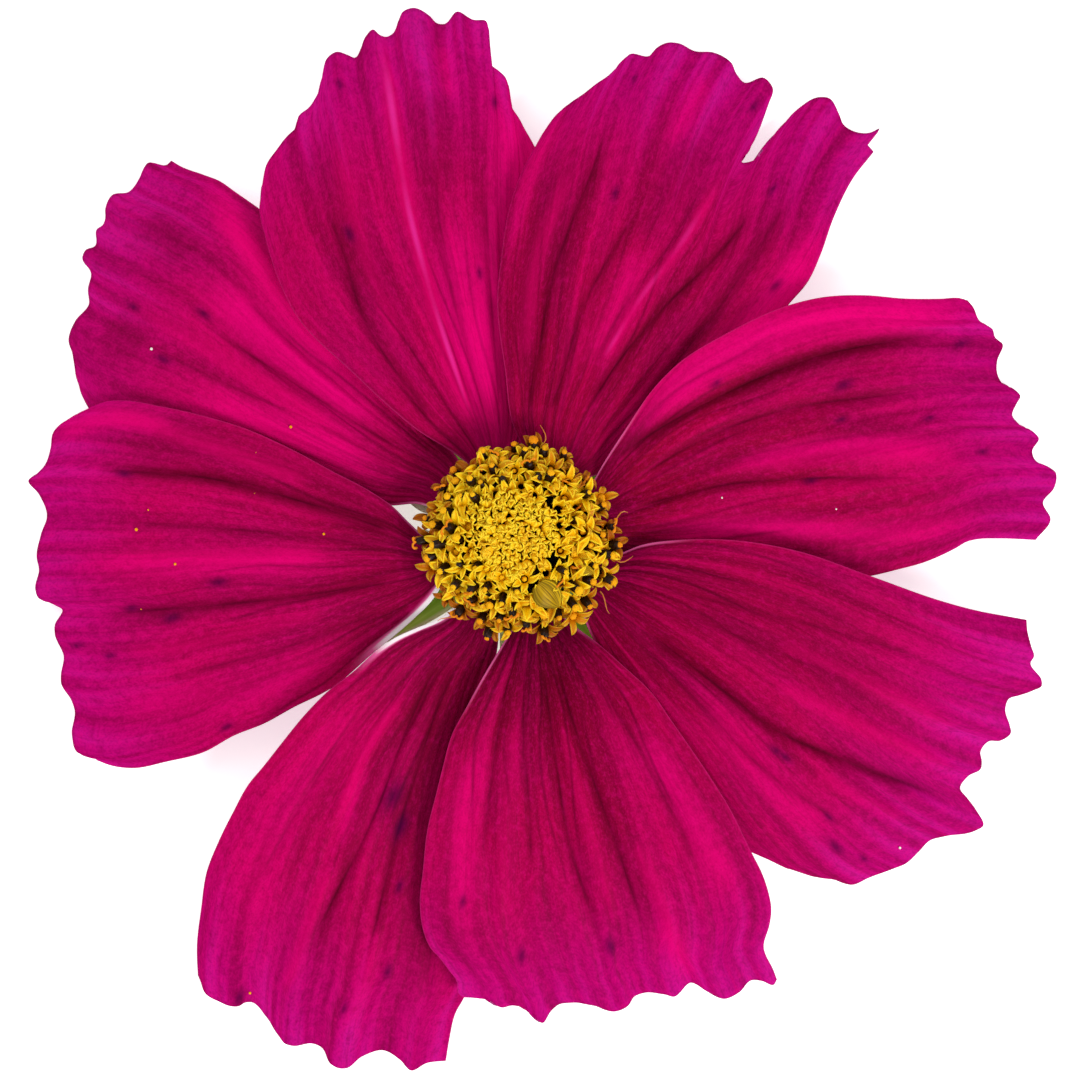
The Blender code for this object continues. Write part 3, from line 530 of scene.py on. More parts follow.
def smooth_curve(points, shares):
    """Points on a smooth curve through points, at shares of its length from 0 to 1."""
    points = np.asarray(points, float)
    knots = np.concatenate([[0.0], np.cumsum(np.linalg.norm(np.diff(points, axis=0), axis=1))])
    knots /= knots[-1]
    steps = np.diff(knots)[:, None]
    slopes = np.diff(points, axis=0) / steps
    inner = (steps[1:] * slopes[:-1] + steps[:-1] * slopes[1:]) / (steps[:-1] + steps[1:])
    tangents = np.vstack([slopes[:1], inner, slopes[-1:]])
    k = np.clip(np.searchsorted(knots, shares, side="right") - 1, 0, len(steps) - 1)
    s = ((shares - knots[k])[:, None]) / steps[k]
    return (
        (2 * s**3 - 3 * s**2 + 1) * points[k]
        + (s**3 - 2 * s**2 + s) * steps[k] * tangents[k]
        + (3 * s**2 - 2 * s**3) * points[k + 1]
        + (s**3 - s**2) * steps[k] * tangents[k + 1]
    )


def into_frame(points):
    """Millimetres from the disc's axis to metres in the frame."""
    placed = np.array(points, float)
    placed[..., 0] += AXIS[0]
    placed[..., 1] += AXIS[1]
    return placed * MM


def grid_mesh(name, points, maps=None):
    """An open sheet through a grid of points (rows, columns, 3). Each of maps becomes a UV map if it
    holds pairs, and a float attribute if it holds single values."""
    rows, columns = points.shape[:2]
    bm = bmesh.new()
    bmesh.ops.create_grid(bm, x_segments=columns - 1, y_segments=rows - 1, size=0.5)
    mesh = bpy.data.meshes.new(name)
    bm.to_mesh(mesh)
    bm.free()
    flat = np.empty(len(mesh.vertices) * 3)
    mesh.vertices.foreach_get("co", flat)
    places = flat.reshape(-1, 3)
    i = np.rint((places[:, 0] + 0.5) * (columns - 1)).astype(int)
    j = np.rint((places[:, 1] + 0.5) * (rows - 1)).astype(int)
    mesh.vertices.foreach_set("co", points[j, i].ravel())
    for key, values in (maps or {}).items():
        if values.ndim == 3:
            layer = mesh.uv_layers.new(name=key)
            corner = np.empty(len(mesh.loops), int)
            mesh.loops.foreach_get("vertex_index", corner)
            layer.data.foreach_set("uv", values[j, i][corner].ravel())
        else:
            mesh.attributes.new(key, "FLOAT", "POINT").data.foreach_set("value", values[j, i].ravel())
    mesh.update()
    return mesh


def add_object(name, data):
    obj = bpy.data.objects.new(name, data)
    bpy.context.scene.collection.objects.link(obj)
    return obj


def show(name, data, materials, stands_for=()):
    """Puts a mesh or a curve in the scene as a piece of the flower, riding on its one body."""
    for material in materials:
        data.materials.append(material)
    if isinstance(data, bpy.types.Mesh):
        data.shade_smooth()
    obj = add_object(name, data)
    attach(obj, "root")
    if stands_for:
        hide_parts(*stands_for)
    return obj


def thicken(obj, thickness, back_material=0):
    shell = obj.modifiers.new("Solidify", "SOLIDIFY")
    shell.thickness = thickness * MM
    shell.offset = 0.0
    shell.material_offset = back_material
    shell.use_even_offset = False


# ---------------------------------------------------------------- petals


def distance_to_path(plan, path):
    """Each point's distance from a polyline, and how far along it the nearest point is, 0 to 1."""
    path = np.asarray(path, float)
    lengths = np.linalg.norm(np.diff(path, axis=0), axis=1)
    starts = np.concatenate([[0.0], np.cumsum(lengths)])
    best = np.full(plan.shape[:-1], np.inf)
    along = np.zeros(plan.shape[:-1])
    for k, length in enumerate(lengths):
        way = path[k + 1] - path[k]
        t = np.clip(((plan - path[k]) @ way) / length**2, 0, 1)
        gap = np.linalg.norm(plan - path[k] - t[..., None] * way, axis=-1)
        nearer = gap < best
        best = np.where(nearer, gap, best)
        along = np.where(nearer, (starts[k] + t * length) / starts[-1], along)
    return best, along


def claw_corners(angle):
    a = math.radians(angle)
    out = np.array([math.cos(a), math.sin(a)])
    across = np.array([-out[1], out[0]]) * CLAW_WIDTH / 2
    return out * CLAW_RADIUS + across, out * CLAW_RADIUS - across


def fade_out(r, end, over):
    """1 near the axis, falling to 0 at the radius end over the last stretch before it."""
    return smoothstep((end - r) / over)


def petal_grid(petal):
    """The petal seen from above: its grid of points, and their shares across it and along it. The
    columns run out to an end without teeth, and the teeth pull only the outer part of each."""
    left_corner, right_corner = claw_corners(petal["angle"])
    teeth = smooth_curve(petal["tip"], np.linspace(0, 1, PETAL_COLUMNS))
    tip = teeth.copy()
    for _ in range(TOOTH_BLUR):
        tip[1:-1] = (tip[:-2] + 2 * tip[1:-1] + tip[2:]) / 4
    steps = np.linalg.norm(np.diff(tip, axis=0), axis=1)
    u = (np.concatenate([[0.0], np.cumsum(steps)]) / steps.sum())[None, :, None]
    rows = np.linspace(0, 1, PETAL_ROWS)
    v = rows[:, None, None]
    left = smooth_curve([left_corner, *petal["left"], petal["tip"][0]], rows)[:, None]
    right = smooth_curve([right_corner, *petal["right"], petal["tip"][-1]], rows)[:, None]
    claw = (1 - u) * left_corner + u * right_corner
    straight = (1 - v) * claw + v * ((1 - u) * tip[0] + u * tip[-1])
    plan = (1 - u) * left + u * right + (1 - v) * claw + v * tip[None] - straight
    plan = plan + smoothstep((v - TOOTH_ROOT) / (1 - TOOTH_ROOT)) * (teeth - tip)[None]
    shape = plan.shape[:2]
    return plan, np.broadcast_to(u[..., 0], shape), np.broadcast_to(v[..., 0], shape)


def fold_maps(petal, plan, u, widths):
    """The folds' height at each point; its place from valley (-1) to ridge (+1), which the colour turns
    into painted shade in the valleys and painted highlight on the ridges; and how near it is to the line of
    a crease, drawn as a dark painted shadow line, and to the line of a sharp ridge, drawn as a painted
    highlight."""
    height, fold_shading, crease_shading, ridge_highlight = (np.zeros(plan.shape[:2]) for _ in range(4))
    r = np.linalg.norm(plan, axis=-1)
    for rise, half_width, path in petal["folds"]:
        gap, along = distance_to_path(plan, smooth_curve(path, np.linspace(0, 1, FOLD_POINTS)))
        fade = smoothstep(along / 0.25) * smoothstep((1 - along) / 0.12 + 0.35)
        broad = np.exp(-((gap / half_width) ** 2)) * fade
        width = FOLD_LINE if rise < 0 else RIDGE_LINE * (0.4 + r / 25)
        uneven = 0.65 + 0.35 * np.sin(22 * along + 40 * rise + petal["seed"])
        line = np.exp(-((gap / width) ** 2)) * fade * uneven
        height += rise * (0.7 * broad + 0.3 * np.exp(-gap / half_width * 3) * fade)
        # The colour follows these: painted shade in the valleys, painted highlight on the ridges, a dark
        # painted shadow line along each valley and a painted highlight along each sharp ridge.
        fold_shading += rise / FOLDED_VALLEY * broad
        if rise < 0:
            crease_shading = np.maximum(crease_shading, line * min(1.0, -rise / FOLDED_VALLEY))
        else:
            # Only a sharp ridge gets a painted highlight along its top.
            ridge_highlight = np.maximum(ridge_highlight, line * min(1.0, max(0.0, rise - 0.2) / 0.14))
    # Short pleats gather in the claw and run out over the first half of the blade, each drawn with a dark
    # painted shadow line along it.
    rng = np.random.default_rng(int(petal["seed"]))
    for place in (np.arange(PLEATS) + rng.uniform(0.2, 0.8, PLEATS)) / PLEATS:
        end = rng.uniform(*PLEAT_ENDS)
        bend = 0.02 * np.sin(0.35 * r + 6 * rng.uniform())
        gap = np.abs(u - place - bend) * widths
        fade = fade_out(r, end, 5) * rng.uniform(0.2, 0.7)
        line = np.exp(-((gap / FOLD_LINE / rng.uniform(0.7, 1.2)) ** 2)) * fade
        height -= PLEAT_DEPTH * line
        crease_shading = np.maximum(crease_shading, line)
    return height, np.clip(fold_shading, -1, 1), crease_shading, ridge_highlight


def petal_height(petal, u, plan, folds):
    """An arch from the claw down to the tip. Its sides lift or sink, its folds and ribs run along it."""
    r = np.linalg.norm(plan, axis=-1)
    reach = np.linalg.norm(petal["tip"], axis=1).max() - CLAW_RADIUS
    droop = (CLAW_Z + PETAL_RISE * reach - petal["tip_z"]) / reach**2
    out = r - CLAW_RADIUS
    spread = smoothstep((r - LIFT_START_RADIUS) / (LIFT_FULL_RADIUS - LIFT_START_RADIUS))
    left_lift, right_lift = petal["lift"]
    lift = left_lift * smoothstep(1 - 2 * u) + right_lift * smoothstep(2 * u - 1)
    height = CLAW_Z + PETAL_RISE * out - droop * out**2
    height = height + EDGE_LIFT * spread * lift
    seed = petal["seed"]
    ribs = np.cos(2 * np.pi * 11 * u + seed) + 0.7 * np.cos(2 * np.pi * 17.3 * u + 2.1 * seed)
    height = height + spread * (folds + RIB_HEIGHT * ribs * np.sqrt(np.clip(4 * u * (1 - u), 0, 1)))
    soft = SURFACE_SOFTNESS
    return LOWEST_PETAL_Z + soft * np.logaddexp(0.0, (height - LOWEST_PETAL_Z) / soft)


def tone_and_light_map(petal, plan):
    """How far each point is made brighter pink, or below 0 duskier red: partly the petal's own patchy
    colour, partly painted light that lifts shadows cast by overlapping petals, and partly painted shadow.
    """
    tone_and_painted_light = np.zeros(plan.shape[:2])
    for strength, half_width, path in petal["tones_and_painted_lights"]:
        gap, along = distance_to_path(plan, smooth_curve(path, np.linspace(0, 1, FOLD_POINTS)))
        fade = smoothstep(0.3 + along / 0.3) * smoothstep(0.3 + (1 - along) / 0.3)
        tone_and_painted_light += strength * np.exp(-((gap / half_width) ** 2)) * fade
    return np.clip(tone_and_painted_light, -1, 1)


def bruise_map(petal, plan):
    """Small bruises, drawn out along the veins."""
    marks = np.zeros(plan.shape[:2])
    for x, y, radius in petal["bruises"]:
        away = plan - np.array([x, y])
        out = np.array([x, y]) / math.hypot(x, y)
        along = (away @ out) / 1.4
        aside = (away @ np.array([-out[1], out[0]])) / 0.7
        marks = np.maximum(marks, np.exp(-(along**2 + aside**2) / radius**2))
    return marks


def rim_map(petal, u, widths, r):
    """How strongly a point is lightened as a painted highlight, as part of the rim along a side edge where
    it curls and catches the light.
    """
    rim = np.zeros(r.shape)
    for (width, highlight_strength, end), gap in zip(petal["pale_edges"], (u * widths, (1 - u) * widths)):
        rim = np.maximum(rim, highlight_strength * smoothstep(1.6 - gap / width) * fade_out(r, end, RIM_FADE))
    return rim


def make_petal(name, petal, materials):
    """One petal: a pleated sheet that arches out from the claw and droops to its toothed tip."""
    plan, u, v = petal_grid(petal)
    widths = np.linalg.norm(np.diff(plan, axis=1), axis=-1).sum(axis=1)[:, None]
    folds, fold_shading, crease_shading, ridge_highlight = fold_maps(petal, plan, u, widths)
    points = into_frame(np.dstack([plan, petal_height(petal, u, plan, folds)]))
    r = np.linalg.norm(plan, axis=-1)
    length = np.linalg.norm(petal["tip"], axis=1).mean()
    maps = {
        "petal_map": np.dstack([u * widths.max() + 40 * petal["seed"], v * length]),
        "reach": (r - CLAW_RADIUS) / (length - CLAW_RADIUS),
        "pinkness": petal["pinkness"] + 0 * r,
        # Darker near the disc: the claw's own deep colour and painted shadow of the disc, most on the
        # petals below it.
        "shade": petal["claw_shade"] * fade_out(r, CLAW_SHADE_END, CLAW_SHADE_FADE),
        "fold_shading": fold_shading,
        "crease_shading": crease_shading,
        "ridge_highlight": ridge_highlight,
        "tone_and_painted_light": tone_and_light_map(petal, plan),
        "rim": rim_map(petal, u, widths, r),
        "side": np.minimum(u, 1 - u) * widths,
        "bruise": bruise_map(petal, plan),
    }
    mesh = grid_mesh(name, points, maps)
    # Where the blade folds right over beside a tooth, the face's colour stays on top.
    normals = np.empty(len(mesh.polygons) * 3)
    mesh.polygons.foreach_get("normal", normals)
    mesh.polygons.foreach_set("material_index", (normals[2::3] < 0).astype(np.int32))
    obj = show(name, mesh, materials, [name])
    thicken(obj, PETAL_THICKNESS, back_material=1)
    return points


# Petal patterns as noise: repeats per millimetre across the blade and along it, and detail. Veins
# run from claw to tip 0.35 mm apart, in bundles. Cells are 0.03 mm, and are drawn 0.14 mm across.
PETAL_PATTERNS = {
    "veins": ((1 / 0.35, 0.10, 1), 3),
    "bundles": ((0.60, 0.035, 1), 2),
    "clouds": ((0.22, 0.10, 1), 3),
    "mottle": ((1 / 0.45, 1 / 0.7, 1), 2),
    "cells": ((1 / 0.14, 1 / 0.2, 1), 1),
}
PETAL_VALUES = (
    "reach", "pinkness", "shade", "tone_and_painted_light", "fold_shading", "crease_shading", "ridge_highlight", "rim", "side", "bruise",
)

# length is the pigment from the claw to the tip. The layers go over it in this order.
PETAL_FACE = {
    "length": (
        (0.0, "#5E000C"), (0.14, "#9A0022"), (0.55, "#A0003C"), (0.80, "#AC0054"), (1.0, "#BC0072"),
    ),
    "layers": (
        ("pinkness", 0.0, 1.0, 0.55, "#CC0064"),
        ("clouds", 0.45, 0.72, 0.45, "#9C0056"),
        ("clouds", 0.50, 0.28, 0.35, "#BA0046"),
        ("reach", 0.72, 1.0, 0.50, "#BE007A"),
        # The claw's own deep colour and painted shadow of the disc.
        ("shade", 0.0, 1.0, 0.85, "#40000C"),
        # Pink and red patches: partly the petal's own colour, partly painted light over shadows cast by
        # overlapping petals, and partly painted shadow.
        ("tone_and_painted_light", 0.0, 1.0, 0.75, "#EA0074"),
        ("tone_and_painted_light", 0.0, -1.0, 0.60, "#780030"),
        ("bundles", 0.52, 0.34, 0.50, "#68001E"),
        ("bundles", 0.52, 0.72, 0.45, "#D60062"),
        ("tip_streaks", 0.46, 0.64, 0.55, "#C8189A"),
        ("veins", 0.50, 0.32, 0.30, "#5C0018"),
        ("veins", 0.54, 0.72, 0.20, "#D80C6C"),
        ("mottle", 0.50, 0.28, 0.36, "#7C0036"),
        ("mottle", 0.50, 0.72, 0.32, "#D80474"),
        ("cells", 0.50, 0.22, 0.36, "#740030"),
        ("cells", 0.50, 0.78, 0.26, "#DC1478"),
        # The same patches again: the petal's own colour with painted light and painted shadow.
        ("tone_and_painted_light", 0.0, 1.0, 0.35, "#F8007E"),
        ("tone_and_painted_light", 0.0, -1.0, 0.35, "#5E0020"),
        # Painted shade in the valleys and along the crease lines, painted highlight on the ridges and along
        # the sharp ridge lines.
        ("fold_shading", -0.05, -1.0, 0.62, "#4E0010"),
        ("fold_shading", 0.10, 1.0, 0.55, "#E00068"),
        ("crease_shading", 0.05, 0.9, 0.66, "#38000E"),
        ("ridge_highlight", 0.10, 1.0, 0.42, "#F43CB4"),
        ("bruise", 0.0, 1.0, 0.75, "#3A0036"),
        ("side", 0.10, 0.0, 0.30, "#E43890"),
        # Painted highlight along the curled rims of the side edges.
        ("rim", 0.0, 0.6, 0.80, "#E0609E"),
        ("rim", 0.6, 1.0, 1.00, "#F4ECF0"),
    ),
}
PETAL_BACK = {
    "length": (
        (0.0, "#8E4A62"), (0.14, "#B0507E"), (0.55, "#BE4A8C"), (0.88, "#C24A92"), (1.0, "#C44E9C"),
    ),
    "layers": (
        ("clouds", 0.40, 0.70, 1.0, "#B25A96"),
        ("bundles", 0.55, 0.35, 0.55, "#96346C"),
        ("bundles", 0.52, 0.72, 0.45, "#DC82B4"),
        ("veins", 0.52, 0.36, 0.50, "#96346C"),
        ("veins", 0.56, 0.72, 0.35, "#DC82B4"),
        # On the back a crease stands out, and its line is lightened as a painted highlight.
        ("crease_shading", 0.05, 0.9, 0.50, "#D890BA"),
        ("side", 0.10, 0.0, 0.30, "#F0A0CC"),
        # Painted highlight along the curled rims of the side edges.
        ("rim", 0.0, 1.0, 1.00, "#F6E4EC"),
    ),
}


def make_petal_material(name, colours):
    """Living petal tissue: thin, a little translucent, and velvety, because its skin cells are little
    cones that hide nearly all gloss. The pigment is thickest near the claw and along the veins."""
    material, values = new_material(name, *PETAL_VALUES)
    where = add_node(material, "ShaderNodeUVMap", {"uv_map": "petal_map"}).outputs[0]
    add_patterns(material, values, where, PETAL_PATTERNS)
    streaks = add_node(
        material, "ShaderNodeMath", {"operation": "MULTIPLY"}, i0=values["bundles"], i1=values["reach"]
    )
    values["tip_streaks"] = streaks.outputs[0]
    pigment = add_node(material, "ShaderNodeValToRGB", Fac=values["reach"])
    stops = pigment.color_ramp.elements
    stops[0].color = linear(colours["length"][0][1])
    stops[1].color = linear(colours["length"][-1][1])
    for place, colour in colours["length"][1:-1]:
        stops.new(place).color = linear(colour)
    colour = painted(material, pigment.outputs["Color"], values, colours["layers"])
    height = add_node(
        material, "ShaderNodeMath", {"operation": "MULTIPLY_ADD"},
        i0=values["bundles"], i1=0.8, i2=values["veins"],
    )
    velvet = add_node(
        material, "ShaderNodeMapRange",
        Value=values["veins"], From_Min=0.3, From_Max=0.7, To_Min=0.5, To_Max=0.7,
    )
    return finish_tissue(
        material, colour, 0.22, (height.outputs[0], 0.00008, 0.4),
        Roughness=velvet.outputs["Result"], Specular_IOR_Level=0.02,
    )


# ---------------------------------------------------------------- bracts, receptacle and stem


def bract_half_width(t, width, widest):
    """Half the width at t of the length, for a bract whose broadest place is at widest."""
    rising = 0.55 + 0.45 * np.sin(np.pi / 2 * t / widest)
    falling = np.cos(np.pi / 2 * np.clip((t - widest) / (1.005 - widest), 0, 1)) ** 0.9
    return width / 2 * np.where(t < widest, rising, falling)


def make_bract(name, shape, materials, seed):
    """A pointed leaf-like scale, keeled along its middle, that points the way the frame's one does."""
    columns, rows = 25, 60
    t = np.linspace(0, 1, rows)[:, None]
    across = np.linspace(-1, 1, columns)[None, :]
    half = bract_half_width(t, shape["width"], shape["widest"])
    along = shape["foot"][0] + shape["length"] * t + 0 * across
    side = half * across
    keel = (0.24 * t + 0.05 * np.sin(9 * t + seed)) * half * across**2
    wave = 0.04 * np.sin(5 * t + 2 * seed) * smoothstep(t * 4)
    height = shape["foot"][1] + shape["rise"](t) + keel + wave
    a = math.radians(bract_angle(name))
    x = along * math.cos(a) - side * math.sin(a)
    y = along * math.sin(a) + side * math.cos(a)
    points = np.dstack([x, y, height])
    maps = {
        "bract_map": np.dstack([side + 10 * seed, along]),
        "margin": np.abs(across) + 0 * t,
    }
    obj = show(name, grid_mesh(name, into_frame(points), maps), materials, [name])
    thicken(obj, shape["thickness"])


def bract_angle(name):
    """Which way the frame's bract of this name points, in degrees."""
    low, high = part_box(name)
    middle = (np.array(low) + np.array(high)) / 2 / MM
    return math.degrees(math.atan2(middle[1] - AXIS[1], middle[0] - AXIS[0]))


def make_bract_material(name, base, layers, vein_spacing, translucency):
    """Leaf tissue with veins along it, clouded here and there, and a thin pale edge."""
    material, values = new_material(name, "margin")
    where = add_node(material, "ShaderNodeUVMap", {"uv_map": "bract_map"}).outputs[0]
    patterns = {"veins": ((1 / vein_spacing, 0.12, 1), 2), "clouds": ((0.5, 0.25, 1), 2)}
    add_patterns(material, values, where, patterns)
    colour = painted(material, linear(base), values, layers)
    return finish_tissue(
        material, colour, translucency, (values["veins"], 0.00006, 0.5),
        Roughness=0.55, Specular_IOR_Level=0.35,
    )


GREEN_BRACT_LAYERS = (
    ("veins", 0.35, 0.65, 1.0, "#CCEC80"),
    ("clouds", 0.40, 0.70, 0.5, "#86B83C"),
    ("margin", 0.72, 0.90, 1.0, "#E4E8C8"),
)
PAPERY_BRACT_LAYERS = (
    ("veins", 0.35, 0.65, 1.0, "#D8CFA0"),
    ("clouds", 0.40, 0.70, 0.5, "#A89C60"),
    ("margin", 0.60, 0.85, 1.0, "#EFEBD6"),
)


# Going up: radius and height. Then how far the cut end's points, the lowest of them, show pith.
STEM_PROFILE = (
    (0, 0), (0.55, 0), (0.85, 0), (1.08, 0.02), (1.2, 0.1), (1.2, 0.5), (1.2, 0.9), (1.26, 1.3),
    (1.42, 1.75), (2.2, 2.2), (3, 2.65), (3.7, 3.05), (4.5, 3.55), (5.15, 3.98), (5.5, 4.35), (5.55, 4.5),
    (5.4, 4.65), (4.6, 4.72), (4.45, 4.9), (4.45, 5.4), (4.25, 5.68), (2.7, 5.88), (1.4, 5.98), (0, 6.03),
)
STEM_CUT_PITH = (1.0, 1.0, 0.6, 0.1)


def make_stem_material():
    """Living green stem: smooth ribbed skin, a pale pithy middle where it is cut, and the bed of the
    receptacle that the florets stand on, painted dark brown as the shade that lies between them."""
    material, values = new_material("green_stem_skin", "pith", "bed_painted_shade")
    where = add_node(material, "ShaderNodeTexCoord").outputs["Object"]
    mottle = add_node(material, "ShaderNodeTexNoise", Vector=where, Scale=900.0, Detail=3.0)
    values["mottle"] = mottle.outputs["Fac"]
    layers = (
        ("mottle", 0.35, 0.65, 1.0, "#7FA348"),
        ("pith", 0.0, 1.0, 1.0, "#DDE0B8"),
        # The receptacle's bed is painted near-black brown: painted shade in the gaps between the florets.
        ("bed_painted_shade", 0.0, 1.0, 1.0, "#2A1606"),
    )
    colour = painted(material, linear("#4F7A2C"), values, layers)
    bump = add_node(
        material, "ShaderNodeBump", Strength=0.4, Distance=0.00005, Height=values["mottle"]
    )
    shader = add_node(
        material, "ShaderNodeBsdfPrincipled", Base_Color=colour, Roughness=0.6, Specular_IOR_Level=0.2,
        Normal=bump.outputs[0],
    )
    add_node(material, "ShaderNodeOutputMaterial", Surface=shader.outputs[0])
    return material


def make_stem(material):
    """The cut stub of stem and the receptacle it widens into, with shallow ribs running up it."""
    turns = np.linspace(0, 2 * math.pi, 97)[None, :]
    radius, z = (np.array(column)[:, None] for column in zip(*STEM_PROFILE))
    pith = np.zeros(z.shape)
    pith[: len(STEM_CUT_PITH), 0] = STEM_CUT_PITH
    ribs = np.cos(8 * turns) * smoothstep(z / 0.6) * smoothstep((4.2 - z) / 1.5)
    ribbed = radius * (1 + 0.035 * ribs)
    points = np.dstack([ribbed * np.cos(turns), ribbed * np.sin(turns), z + 0 * turns])
    # The top of the receptacle, above 5.45 mm, takes the painted shade.
    maps = {"pith": pith + 0 * turns, "bed_painted_shade": smoothstep((z - 5.45) / 0.2) + 0 * turns}
    mesh = grid_mesh("stem_and_receptacle_skin", into_frame(points), maps)
    bm = bmesh.new()
    bm.from_mesh(mesh)
    bmesh.ops.remove_doubles(bm, verts=bm.verts, dist=0.000001)
    bmesh.ops.recalc_face_normals(bm, faces=bm.faces)
    bm.to_mesh(mesh)
    bm.free()
    show("stem_and_receptacle_skin", mesh, [material], ["stem_and_receptacle"])


# ---------------------------------------------------------------- disc


def template_of(bm):
    """A template to copy: its points in mm, its faces, and its points' edge values."""
    edge = bm.verts.layers.float.get("edge")
    bm.verts.index_update()
    points = np.array([vertex.co for vertex in bm.verts])
    faces = [[vertex.index for vertex in face.verts] for face in bm.faces]
    edges = np.array([vertex[edge] if edge else 0.0 for vertex in bm.verts])
    bm.free()
    return points, faces, edges


def merged(name, copies):
    """One mesh of copies of templates, each (template, matrix in mm, age, tint)."""
    points, faces = [], []
    maps = {"age": [], "tint": [], "up": [], "edge": []}
    start = 0
    for (own, own_faces, edges), matrix, age, tint in copies:
        points.append(own @ np.array(matrix.to_3x3()).T + np.array(matrix.translation))
        faces += [[start + k for k in face] for face in own_faces]
        for key, values in (("age", age), ("tint", tint), ("up", own[:, 2]), ("edge", edges)):
            maps[key].append(values + np.zeros(len(own)))
        start += len(own)
    mesh = bpy.data.meshes.new(name)
    mesh.from_pydata(into_frame(np.vstack(points)).tolist(), [], faces)
    for key, values in maps.items():
        mesh.attributes.new(key, "FLOAT", "POINT").data.foreach_set("value", np.concatenate(values))
    mesh.update()
    return mesh


def show_copies(name, copies, material, stands_for=()):
    return show(name, merged(name, copies), [material], stands_for)


def corolla_template(rng, throat, lean, curl, lobe_length, tube_length):
    """A floret's corolla: a tube that parts into five pointed lobes, no two quite alike. The throat is
    at the origin and the tube hangs below it. A lobe leaves the throat at lean and turns by curl more
    on its way to the tip, in radians, outwards above 0 and inwards below it. edge is 1 along a
    lobe's edges."""
    bm = bmesh.new()
    edge = bm.verts.layers.float.new("edge")
    for lobe in range(5):
        turn = 2 * math.pi * lobe / 5
        own_lean = lean + rng.uniform(-0.5, 0.5)
        own_curl = curl + rng.uniform(-0.35, 0.35)
        own_length = lobe_length * rng.uniform(0.7, 1.25)
        twist = rng.uniform(-0.6, 0.6)
        made = bmesh.ops.create_grid(bm, x_segments=4, y_segments=10, size=0.5)
        for vertex in made["verts"]:
            w = vertex.co.x * 2
            t = vertex.co.y + 0.5
            s = max(0.0, (t - TUBE_SHARE) / (1 - TUBE_SHARE))
            vertex[edge] = max(abs(w), s**3) * min(1.0, 4 * s)
            if s == 0.0:
                radius = throat * (0.5 + 0.5 * smoothstep(t / TUBE_SHARE))
                a = turn + w * math.pi / 5
                vertex.co = (radius * math.cos(a), radius * math.sin(a), tube_length * (t / TUBE_SHARE - 1))
                continue
            half = throat * math.sin(math.pi / 5) * (1 + 0.4 * math.sin(math.pi * s)) * (1 - s**1.6) + 0.012
            bend = own_lean + own_curl * s
            out = own_length * (math.cos(own_lean) - math.cos(bend)) / own_curl
            up = own_length * (math.sin(bend) - math.sin(own_lean)) / own_curl
            up += LOBE_TROUGH * w * w * math.sin(math.pi * s)
            place = Vector((throat * math.cos(w * math.pi / 5 * (1 - s)) + out, w * half, up))
            place.rotate(Matrix.Rotation(turn + twist * s, 3, "Z").to_quaternion())
            vertex.co = place
    bmesh.ops.remove_doubles(bm, verts=bm.verts, dist=0.01)
    return template_of(bm)


def anther_template():
    """The tube of five dark anthers, fused side by side, that stands up out of an open floret."""
    rings = [(0.12, -0.6), (0.22, -0.1), (0.25, 0.3), (0.25, 0.75), (0.22, 1.0), (0.12, 1.12)]
    bm = bmesh.new()
    made = bmesh.ops.create_uvsphere(bm, u_segments=20, v_segments=len(rings) + 1, radius=1.0)
    for vertex in made["verts"]:
        x, y, z = vertex.co
        ring = round((math.asin(max(-1.0, min(1.0, z))) / math.pi + 0.5) * (len(rings) + 1)) - 1
        if 0 <= ring < len(rings):
            radius, height = rings[ring]
            a = math.atan2(y, x)
            radius *= 1 + 0.09 * math.cos(5 * a)
            vertex.co = (radius * math.cos(a), radius * math.sin(a), height)
        else:
            vertex.co = (0, 0, rings[0][1] - 0.05 if ring < 0 else rings[-1][1] + 0.02)
    return template_of(bm)


def pollen_template(rng):
    """A lumpy knob of sticky pollen pushed out of the top of the anther tube."""
    bm = bmesh.new()
    bmesh.ops.create_icosphere(bm, subdivisions=3, radius=1.0)
    turns = rng.uniform(0, 6, 3)
    for vertex in bm.verts:
        way = vertex.co.normalized()
        bumps = math.prod(math.sin(n * x + turn) for n, x, turn in zip((9, 8, 9), way, turns))
        vertex.co = way * POLLEN_KNOB_RADIUS * (1 + 0.3 * bumps)
        vertex.co.z *= 0.8
    return template_of(bm)


def palea_template():
    """A chaffy scale, 1 long and 1 wide, standing on its foot along +Z with its face to +Y. edge runs
    from -1 to 1 across it."""
    bm = bmesh.new()
    edge = bm.verts.layers.float.new("edge")
    made = bmesh.ops.create_grid(bm, x_segments=12, y_segments=16, size=0.5)
    for vertex in made["verts"]:
        w = vertex.co.x * 2
        t = vertex.co.y + 0.5
        vertex[edge] = w
        half = 0.5 * math.sin(math.pi * min(1.0, 0.12 + 0.88 * t)) ** 0.7
        vertex.co = (w * half, 0.10 * (1 - w * w) + 0.06 * math.sin(7 * t + 2 * w), t)
    return template_of(bm)


